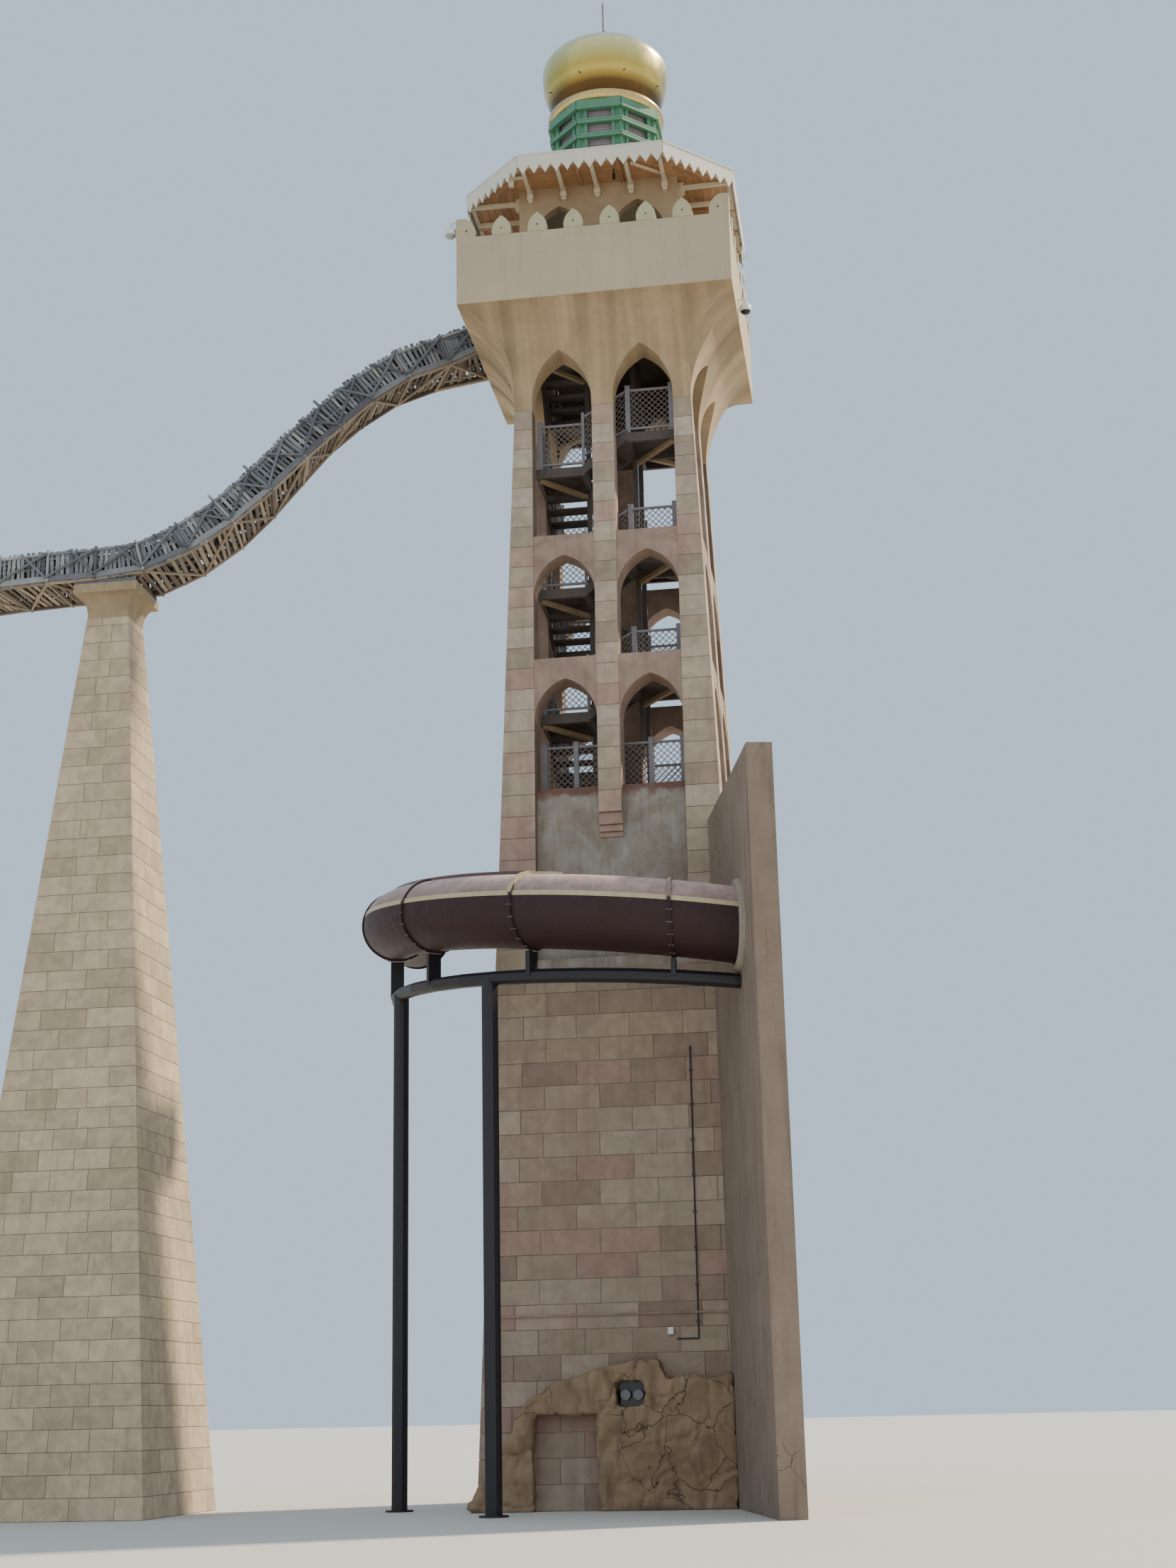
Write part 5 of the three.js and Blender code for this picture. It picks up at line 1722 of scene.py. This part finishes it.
    def torn_strip(self) -> None:
        """Hangs the strip of edging that has come loose on the right hand side."""
        strip = Gathered(54)
        draw = strip.draw
        place = Vector((EAVE_HALF - 0.03, 1.2, CEILING - 0.02))
        for _ in range(self.torn_pieces):
            step = Vector((draw.uniform(-0.01, 0.03), -0.05 + draw.uniform(-0.05, 0.05), -0.19))
            strip.board(place, place + step * 1.08, AWAY, 0.17 * draw.uniform(0.6, 1.1), 0.014, 0.01)
            place = place + step
        strip.place("torn_roof_edging", CHALKY_ROOF_PAINT, Slot.ROOF)


@dataclass
class Lantern:
    """The lantern over the roof: its panels, the gold ring and dome, and the dome's lifting studs."""

    around: int = 128
    face: float = 1.16
    band_foot: float = 29.34
    rail_top: float = 29.09
    rows: int = 4
    panel_at: float = 1.14 * math.cos(math.pi / 8) + 0.006
    panel_half: float = 0.275
    seam: float = 0.012
    stud: float = 0.012
    stud_head: float = 0.022
    studs_in_row: int = 8
    ring: tuple[tuple[float, float], ...] = ((1.0, 0.0), (1.24, 0.0), (1.275, 0.025), (1.3, 0.07),
        (1.312, 0.11), (1.31, 0.15), (1.296, 0.19), (1.268, 0.222), (1.22, 0.246), (1.15, 0.26), (1.0, 0.26))

    def build(self) -> None:
        """Dresses what stays of the solids and makes the rest."""
        dress(["lantern_curb"], SEA_GREEN_PAINT)
        self.frame()
        dress(["lantern_louvres"], TINTED_PANEL)
        dress(["lightning_rod"], GREY_STEEL)
        self.dome()
        self.studs()
        self.seams()

    def dome(self) -> None:
        """Turns the dome, whose lower part is taller than its upper one, and the ring under it."""
        foot = LANTERN_TOP + RING_HIGH
        start = -math.asin((DOME_MID - foot) / DOME_LOW)
        profile = [(0.0, foot)]
        for angle, tall in [(start * (1 - i / 24), DOME_LOW)
                for i in range(25)] + [(math.pi / 2 * i / 30, DOME_TOP - DOME_MID) for i in range(1, 31)]:
            profile.append((DOME_R * math.cos(angle), DOME_MID + tall * math.sin(angle)))
        place_piece(
            "gold_dome_shell", as_mesh(lathe(profile, self.around), 35), GILT_DOME, Slot.GOLD, ["gold_dome"])
        form = skinned([[polar(r, math.tau * i / self.around, LANTERN_TOP + z) for r, z in self.ring]
            for i in range(self.around)], close=True)
        place_piece("gold_ring_moulding", as_mesh(form, 40), GOLD_METAL, Slot.GOLD, ["gold_ring"])

    def frame(self) -> None:
        """Bolts up the lantern's frame: a deep top band, rails, and boxed corners between paired posts."""
        bars = Gathered(63)
        at, edge = self.face, (self.face + 0.03) * math.tan(math.pi / 8)
        # Each bar's distance from the middle, half its length, its underside and top, and its depth
        levels = [(at, edge, self.band_foot, LANTERN_TOP, 0.12),
            (at + 0.03, edge + 0.01, self.band_foot - 0.02, self.band_foot + 0.03, 0.12)]
        for row in range(self.rows):
            z = self.rail_top - row * RAIL_PITCH
            levels += [(at, edge, z - RAIL_HIGH, z, 0.1),
                (at + 0.045, edge + 0.015, z - 0.04, z - 0.005, 0.02)]
        for side in range(8):
            turn = Matrix.Rotation(math.pi / 4 * side, 3, "Z")
            for reach, long, low, top, deep in levels:
                ends = [turn @ Vector((reach, u, (low + top) / 2)) for u in (-long, long)]
                bars.board(*ends, UP, top - low, deep)
            for sign in (-1, 1):
                for u0, u1, reach in ((0.27, 0.34, at - 0.035), (0.34, 0.43, at - 0.065),
                        (0.43, 0.5, at - 0.035)):
                    place = turn @ Vector((reach, sign * (u0 + u1) / 2, LANTERN_RAILS))
                    bars.board(place, place + UP * (LANTERN_TOP - LANTERN_RAILS), turn @ AWAY, u1 - u0, 0.06)
        bars.place("lantern_frame_bars", SEA_GREEN_PAINT, Slot.LANTERN, replaces=["lantern_frame"])

    def studs(self) -> None:
        """Sets the small lifting studs in two rows round the dome."""
        studs = Gathered(61)
        for degrees, tall, shift in ((48, DOME_TOP - DOME_MID, 0.2), (-22, DOME_LOW, 0.6)):
            a = math.radians(degrees)
            for i in range(self.studs_in_row):
                b = math.tau * (i + shift) / self.studs_in_row
                place = polar(DOME_R * math.cos(a), b, DOME_MID + tall * math.sin(a))
                out = polar(math.cos(a), b, math.sin(a))
                studs.pole(place - out * 0.01, place + out * 0.035, self.stud, 8)
                studs.pole(place + out * 0.03, place + out * 0.05, self.stud_head, 8)
        studs.place("dome_lifting_studs", GREY_STEEL, Slot.STEEL, 40)

    def seams(self) -> None:
        """Fixes thin beads across the panels between the lantern's rails."""
        beads = Gathered(62)
        feet = [self.rail_top - row * RAIL_PITCH for row in range(self.rows)]
        tops = [self.band_foot] + [z - RAIL_HIGH for z in feet[:-1]]
        for side in range(8):
            turn = Matrix.Rotation(math.pi / 4 * side, 3, "Z")
            for top, foot in zip(tops, feet):
                for z in (foot + 0.06, (foot + top) / 2 + 0.01, top - 0.05):
                    ends = [turn @ Vector((self.panel_at, u, z))
                        for u in (-self.panel_half, self.panel_half)]
                    beads.board(*ends, UP, self.seam, self.seam)
        beads.place("lantern_panel_seams", TINTED_PANEL, Slot.LOUVRE)


@dataclass
class DomeCamera:
    """A watching camera: an arm from the wall, a white housing and a tinted bowl under it."""

    name: str
    foot: Vector
    out: Vector
    replaces: tuple[str, ...] = ()
    reach: float = 0.15
    bowl: Finish = GREY_ACRYLIC
    bowl_wide: float = 0.105
    bowl_top: float = -0.195
    bowl_deep: float = 0.075
    around: int = 32
    shell: tuple[tuple[float, float], ...] = ((0, 0.02), (0.045, 0.02), (0.05, -0.03), (0.1, -0.05),
        (0.125, -0.09), (0.13, -0.17), (0.128, -0.19), (0.11, -0.2), (0, -0.2))

    def hung(self, part: str, profile: Sequence[tuple[float, float]], finish: Finish,
            replaces: Iterable[str] = ()) -> None:
        """Hangs a turned part at the arm's end.

        Args:
            part: Its name after the camera's.
            profile: Its outline as (radius, height).
            finish: Its finish.
            replaces: The CAD nodes it stands for.
        """
        form = lathe(profile, self.around)
        form.transform(Matrix.Translation(self.foot + self.out * self.reach))
        place_piece(f"{self.name}_{part}", as_mesh(form, 40), finish, Slot.COVER, replaces)

    def build(self) -> None:
        """Makes the housing, its arm and the bowl."""
        self.hung("housing", self.shell, WHITE_PLASTIC, self.replaces)
        hang, pole = self.foot + self.out * self.reach, UP * 0.09
        arm = Gathered(71)
        arm.pole(self.foot - self.out * 0.02 + pole, hang + pole, 0.022, 12)
        arm.pole(hang + UP * 0.1, hang - UP * 0.02, 0.024, 12)
        arm.board(self.foot, self.foot + UP * 0.095, AWAY, 0.1, 0.02)
        arm.place(f"{self.name}_arm", WHITE_PLASTIC, Slot.COVER, 40)
        curve = [math.pi / 2 * i / 8 for i in range(9)]
        bowl = [(self.bowl_wide * math.cos(a), self.bowl_top - self.bowl_deep * math.sin(a)) for a in curve]
        self.hung("bowl", [(0, self.bowl_top), *bowl], self.bowl)


@dataclass
class Stair:
    """The steel stair's looks: mesh in its railings, caps on the posts, and the primed braces."""

    diamond: float = 0.13
    wire: float = 0.015
    post: float = 0.1
    post_high: float = 1.08
    mesh_foot: float = 0.14
    mesh_top: float = 0.98
    first_landing: float = 0.35
    landings: int = 15
    brace: float = 0.09
    # Where a brace starts near the middle and ends near the wall: its place across and its drop
    brace_in: tuple[float, float] = (0.55, 0.294)
    brace_out: tuple[float, float] = (1.41, 0.218)
    deck_posts: tuple[float, ...] = (-0.76, 0.0, 0.76)

    def build(self) -> None:
        """Dresses the stair and weaves the mesh."""
        dress([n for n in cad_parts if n.startswith("stair_turn_")], STAIR_STEEL)
        dress([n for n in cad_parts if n.startswith("stair_rail_")] + ["deck_rail"], LILAC_STEEL)
        mesh, caps, braces = Gathered(81), Gathered(82), Gathered(83)
        for step in range(self.landings):
            turn, corner = divmod(step, 4)
            z = DECK + self.first_landing + turn * STOREY + corner * STAIR_RISE
            if step:
                self.panel(mesh, corner, (-STAIR_WELL, STAIR_WELL), (z - STAIR_RISE * 0.75, z))
            self.panel(mesh, corner, (STAIR_WELL + 0.06, RAIL_AT - 0.03), (z, z))
            for u in (STAIR_WELL + 0.031, RAIL_AT):
                self.cap(caps, corner, u, z + self.post_high)
            if step < self.landings - 1:
                self.panel(mesh, corner + 1, (-RAIL_AT + 0.03, -STAIR_WELL - 0.07), (z, z))
            if z - 0.4 > DECK:
                sx, sy = ((1, 1), (-1, 1), (-1, -1), (1, -1))[corner]
                ends = [(sx * out, sy * out, z - drop) for out, drop in (self.brace_in, self.brace_out)]
                braces.board(*ends, (-sy, sx, 0), self.brace, self.brace)
        for start in (-RAIL_AT, *self.deck_posts):
            end = start + (0.73 if abs(start) < 1 else 0.605)
            self.panel(mesh, 3, (start + 0.03, end), (DECK, DECK))
            self.cap(caps, 3, start, DECK + self.post_high)
        self.cap(caps, 3, RAIL_AT, DECK + self.post_high)
        mesh.place("railing_mesh", WIRE_STEEL, Slot.STEEL)
        caps.place("railing_post_caps", LILAC_STEEL, Slot.STEEL)
        braces.place("stair_brace_sleeves", PRIMED_STEEL, Slot.STEEL)

    def cap(self, caps: Gathered, quarter: int, u: float, z: float) -> None:
        """Sleeves a railing post and puts a cap on it."""
        for low, high, wide in ((z - 1.16, z, self.post), (z - 0.002, z + 0.02, self.post + 0.012)):
            caps.board((RAIL_AT, u, low), (RAIL_AT, u, high), RIGHT, wide, wide, quarter=quarter)

    def panel(self, mesh: Gathered, quarter: int, along: tuple[float, float],
            levels: tuple[float, float]) -> None:
        """Fills one railing panel with diamond mesh.

        Args:
            mesh: What it's gathered in.
            quarter: The side it's on.
            along: Where it starts and ends along the side.
            levels: The walking height at its start and end.
        """
        wide, tall = along[1] - along[0], self.mesh_top - self.mesh_foot

        def place(p: float, q: float, off: float) -> Vector:
            """Returns a place p along the panel and q above its foot."""
            rise = (levels[1] - levels[0]) * p / wide
            return Vector((RAIL_AT + off, along[0] + p, levels[0] + rise + self.mesh_foot + q))

        for lean, off in ((1, 0.004), (-1, -0.004)):
            c = -tall + self.diamond / 2
            while c < wide:
                p0, p1 = max(0.0, c), min(wide, c + tall)
                if p1 - p0 > 0.02:
                    q0, q1 = (p0 - c, p1 - c) if lean > 0 else (tall - (p0 - c), tall - (p1 - c))
                    mesh.board(place(p0, q0, off), place(p1, q1, off), (0, lean, -1), self.wire, 0.005,
                        quarter=quarter)
                c += self.diamond


@dataclass
class TubeSlide:
    """The closed tube slide: smooth sections, bolted flanges, cream stripe, and its steel underneath."""

    around: int = 72
    wall: float = 0.02
    flange: float = 0.038
    flange_half: float = 0.24
    bolts: int = 20
    stripe_at: float = 19.0
    stripe_wide: float = 0.094
    strap_wide: float = 0.07
    strap_thick: float = 0.055
    strap_bend: float = 74.0
    crown: float = 90.0
    rib_wide: float = 0.16
    rib_thick: float = 0.06
    wall_normal: Vector = field(default_factory=lambda: Vector((-LINK_ALONG.y, LINK_ALONG.x, 0)))

    def place(self, degrees: float, around: float, radius: float) -> Vector:
        """Finds a place on the bend.

        Args:
            degrees: The angle about the bend's middle.
            around: The angle round the tube in radians, nought facing out and a quarter turn facing up.
            radius: The distance from the tube's middle line.

        Returns:
            The place.
        """
        fall = TUBE_FALL * math.radians(degrees + 90) * TUBE_BEND
        reach = TUBE_BEND + radius * math.cos(around)
        return TUBE_MIDDLE + polar(reach, math.radians(degrees), radius * math.sin(around) - fall)

    def hoop(self, degrees: Sequence[float], radius: float) -> list[Vector]:
        """Rings the tube with points."""
        return [self.place(d, math.tau * n / self.around, radius) for n, d in enumerate(degrees)]

    def build(self) -> None:
        """Makes the sections, each an outer and an inner skin, and what is on them."""
        for i, (start, end) in enumerate(zip(TUBE_MARKS, TUBE_MARKS[1:])):
            last = i == len(TUBE_MARKS) - 2
            steps = 30 if last else 24
            skins = []
            for radius in (TUBE_OUT, TUBE_OUT - self.wall):
                stops = [self.wall_end(n, radius) if last else end for n in range(self.around)]
                skins.append([self.hoop([start + (stop - start) * (j / steps) for stop in stops], radius)
                    for j in range(steps + 1)])
            shell = as_mesh(skinned(skins[0] + skins[1][::-1], close=True), 40)
            half_way = (steps + 1) * self.around
            # the inner skin is marked, so it keeps the dark base without the pale top and its painted light
            mark(shell, "shelter", [0.0] * half_way + [1.0] * half_way)
            place_piece(f"tube_shell_{i + 1}", shell, MAROON_GELCOAT, Slot.TUBE, [f"tube_section_{i + 1}"])
        self.flanges()
        self.stripe()
        self.collar()
        dress(["tube_frame"], BLUE_ENAMEL)
        dress(["link_wall"], LINK_RENDER)

    def wall_end(self, n: int, radius: float) -> float:
        """Finds where a line along the tube reaches the wall.

        Args:
            n: The line's number round the tube.
            radius: Its distance from the tube's middle line.

        Returns:
            The angle about the bend's middle, in degrees.
        """
        low, high = TUBE_MARKS[-2], -60.0
        for _ in range(30):
            middle = (low + high) / 2
            point = self.place(middle, math.tau * n / self.around, radius)
            if (point - LINK_START).dot(self.wall_normal) < -0.0003:
                low = middle
            else:
                high = middle
        return low

    def flanges(self) -> None:
        """Makes the raised flanges where sections meet, with their bolts."""
        plates, bolts = Gathered(91), Gathered(92)
        low, high = TUBE_OUT - 0.002, TUBE_OUT + self.flange
        for mark_at in TUBE_MARKS[:-1]:
            first = mark_at == TUBE_MARKS[0]
            for a0, a1 in ((-self.flange_half, -0.02), (0.02, self.flange_half))[first:]:
                plates.rings([self.hoop([mark_at + a] * self.around, radius)
                    for a, radius in ((a0, low), (a1, low), (a1, high), (a0, high))], 0.5, close=True)
            for n in range(0 if first else self.bolts):
                b = math.tau * n / self.bolts
                ends = [self.place(mark_at + a, b, TUBE_OUT + 0.03) for a in (-0.42, 0.42)]
                bolts.pole(*ends, 0.009, 6)
        plates.place("tube_flanges", MAROON_GELCOAT, Slot.TUBE, 40)
        bolts.place("tube_flange_bolts", GREY_STEEL, Slot.STEEL)

    def stripe(self) -> None:
        """Lays the cream stripe on the outer side, the strap at one joint and the rib along the crown."""
        band, rib = Gathered(93), Gathered(94)
        at, start, joint = self.stripe_at, TUBE_MARKS[0] + 0.5, TUBE_MARKS[3]
        end = self.wall_end(int(self.around * at / 360), TUBE_OUT) - 0.15
        self.strip(
            band, [(start + (end - start) * i / 110, at) for i in range(111)], self.stripe_wide, 0.008)
        # The strap climbs from the stripe, bends over and runs out along the crown
        path = [(joint - 0.2 + 0.5 * t, at + (self.strap_bend - at) * t)
            for t in (i / 16 for i in range(17))]
        path += [(joint + 0.3 + 1.1 * (1 - math.cos(a)),
            self.strap_bend + (self.crown - self.strap_bend) * math.sin(a))
            for a in (math.pi / 2 * i / 8 for i in range(1, 9))]
        path += [(joint + 1.4 + 4.6 * i / 12, self.crown + 4 * (i / 12) ** 2) for i in range(1, 13)]
        self.strip(band, path, self.strap_wide, self.strap_thick)
        band.place("tube_cream_stripe", CREAM_GELCOAT, Slot.TUBE, 40)
        crown = [(start + (joint - 0.6 - start) * i / 80, self.crown) for i in range(81)]
        self.strip(rib, crown, self.rib_wide, self.rib_thick)
        rib.place("tube_crown_rib", WINE_GELCOAT, Slot.TUBE, 40)

    def strip(self, band: Gathered, path: Sequence[tuple[float, float]], wide: float, thick: float) -> None:
        """Lays a strip on the tube's skin.

        Args:
            band: What it's gathered in.
            path: Its middle line, by degrees along the bend and degrees round the tube.
            wide: Its width.
            thick: How far it stands off the skin.
        """
        places = [self.place(d, math.radians(b), TUBE_OUT) for d, b in path]
        rows = []
        for i, place in enumerate(places):
            out = (place - self.place(path[i][0], 0, 0)).normalized()
            ahead = places[min(i + 1, len(path) - 1)] - places[max(i - 1, 0)]
            side = out.cross(ahead).normalized() * (wide / 2)
            foot, top = place - out * 0.004, place + out * thick
            rows.append([foot - side, top - side, top + side, foot + side])
        band.rings(rows, 0.5)

    def collar(self) -> None:
        """Casts the concrete collar round the hole where the tube meets the wall."""
        middle = self.place(self.wall_end(0, 0.0), 0, 0.0)
        edge = self.hoop([self.wall_end(n, TUBE_OUT) for n in range(self.around)], TUBE_OUT)
        rings = [[middle + (point - middle) * ((TUBE_OUT + wider) / TUBE_OUT) + self.wall_normal * off
            for point in edge] for wider, off in ((0.012, 0.0), (0.012, -0.09), (0.1, -0.09), (0.14, -0.05),
            (0.15, 0.0))]
        place_piece("tube_wall_collar", as_mesh(skinned(rings, close=True), 40), BARE_CONCRETE, Slot.RENDER)


@dataclass
class Rockwork:
    """The moulded rock at the front's foot, cracked into blocks, with two niches."""

    voxel: float = 0.045
    swell: float = 0.09
    still_foot: float = 0.03
    crack_wide: float = 0.09
    crack_deep: float = 0.05
    lamp_at: float = 1.95
    seed: int = 103

    def build(self) -> None:
        """Remeshes a copy of the solid and works it into rock."""
        noise.seed_set(self.seed)  # without it noise_vector starts from the clock
        mesh = modified(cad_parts["front_rockwork"].data.copy(),
            [("REMESH", {"mode": "VOXEL", "voxel_size": self.voxel})])
        form = bmesh.new()
        form.from_mesh(mesh)
        bmesh.ops.smooth_vert(form, verts=form.verts, factor=0.5, use_axis_x=True, use_axis_y=True,
            use_axis_z=True)
        form.normal_update()
        for vertex, shift in [(v, self.shift(v.co, v.normal)) for v in form.verts]:
            vertex.co += shift
        form.to_mesh(mesh)
        form.free()
        smooth_below(mesh, 60)
        place_piece("front_rock_face", mesh, MOULDED_ROCK, Slot.ROCK, ["front_rockwork"])
        self.lamps()

    def shift(self, place: Vector, normal: Vector) -> Vector:
        """Works out how a point of the rock's skin moves: lumps outwards, and dips along the cracks.

        Args:
            place: The point.
            normal: The skin's direction there.

        Returns:
            Its movement, nought at the foot and against the tower.
        """
        if place.z < self.still_foot or place.y > -half(place.z) - 0.03:
            return Vector()
        lump = noise.fractal(place * 1.7, 1.0, 2.0, 4) * self.swell
        bent = place + noise.noise_vector(place * 2.1) * 0.22
        near, next_near = noise.voronoi(bent * 1.25)[0][:2]
        crack = max(0.0, 1 - (next_near - near) / self.crack_wide)
        fine = noise.noise(place * 9) * 0.012
        side = Vector((normal.x, normal.y, normal.z * (0 if place.z < 0.1 else 1)))
        return side * (lump * 0.8 + fine - crack * self.crack_deep)

    def lamps(self) -> None:
        """Sets a near-black board at the back of the small niche, as painted shade, and two lamps."""
        lamps, back = Gathered(101), Gathered(102)
        y, z = -half(1.97) - 0.02, self.lamp_at
        # painted shade: a near-black board fills the niche's back
        back.board((0.205, y, 1.74), (0.205, y, 2.2), RIGHT, 0.56, 0.012)
        for x in (0.09, 0.32):
            lamps.pole((x, y - 0.006, z), (x, y - 0.11, z), 0.075, 20)
            lamps.pole((x, y - 0.1, z), (x, y - 0.13, z), 0.09, 20)
        back.place("niche_back", SMOKED_ACRYLIC, Slot.ROCK)
        lamps.place("niche_lamps", GREY_STEEL, Slot.STEEL, 40)


@dataclass
class Studio:
    """The floor, the light and the camera."""

    eye: tuple[float, float, float] = (5.3213, -41.96, 1.64)
    yaw: float = -0.1434
    pitch: float = 0.2865
    roll: float = -0.0216
    focal_px: float = 3015.07
    tall_px: float = 2212
    floor_half: float = 400
    sky: str = "#cbe2f7"

    def build(self) -> None:
        """Sets all of it up."""
        form = bmesh.new()
        bmesh.ops.create_grid(form, x_segments=1, y_segments=1, size=self.floor_half)
        floor = self.add("floor", as_mesh(form))
        floor.location.z = -0.003
        floor.data.materials.append(STUDIO_FLOOR.material())
        self.light()
        self.camera()

    def add(self, name: str, data: bpy.types.ID) -> bpy.types.Object:
        """Puts a mesh, a light or a camera in the scene.

        Args:
            name: The new object's name.
            data: What it shows.

        Returns:
            The object.
        """
        made = bpy.data.objects.new(name, data)
        bpy.context.scene.collection.objects.link(made)
        return made

    def light(self) -> None:
        """Lights the tower softly from all round, from high on the right and from low in front."""
        world = bpy.data.worlds.new("studio")
        world.use_nodes = True
        work = Shader(world.node_tree)
        glow = work.add("Background", {"Color": srgb(self.sky), "Strength": 1.0})
        work.add("OutputWorld", links={"Surface": glow})
        bpy.context.scene.world = world
        for name, power, degrees, toward, colour in (("key", 7.0, 5, (0.72, 0.45, 0.75), "#ffedd0"),
                ("fill", 0.95, 160, (0.35, -0.9, 0.12), "#ffe3c0")):
            lamp = bpy.data.lights.new(name, "SUN")
            lamp.energy, lamp.angle, lamp.color = power, math.radians(degrees), srgb(colour)[:3]
            held = self.add(name, lamp)
            held.rotation_mode = "QUATERNION"
            held.rotation_quaternion = Vector(toward).to_track_quat("Z", "Y")

    def camera(self) -> None:
        """Puts the camera where the photograph was taken from."""
        ahead = Vector((math.sin(self.yaw) * math.cos(self.pitch), math.cos(self.yaw) * math.cos(self.pitch),
            math.sin(self.pitch)))
        level = Vector((math.cos(self.yaw), -math.sin(self.yaw), 0))
        over = level.cross(ahead)
        right = level * math.cos(self.roll) + over * math.sin(self.roll)
        up = over * math.cos(self.roll) - level * math.sin(self.roll)
        lens = bpy.data.cameras.new("camera")
        lens.sensor_width = 36
        lens.lens = self.focal_px / self.tall_px * lens.sensor_width
        lens.clip_end = 1000
        held = self.add("camera", lens)
        held.matrix_world = Matrix.Translation(self.eye) @ Matrix((right, up, -ahead)).transposed().to_4x4()
        bpy.context.scene.camera = held


def main() -> None:
    """Builds each part of the tower's looks in turn."""
    logging.basicConfig(level=logging.INFO, format="%(name)s: %(message)s")
    builders = [Studio(), Shaft(), Flare(), Head(), Canopy(), Lantern(), Stair(), Chute(), Pier(),
        TubeSlide(), Rockwork(),
        DomeCamera("left_camera", Vector((-HEAD_HALF, -2.75, 25.75)), -RIGHT, ("dome_camera",)),
        DomeCamera("right_camera", Vector((HEAD_HALF, -1.0, 24.3)), RIGHT, bowl=SMOKED_ACRYLIC)]
    for builder in builders:
        builder.build()
        LOG.info("built %s", type(builder).__name__)


if __name__ == "__main__":
    main()
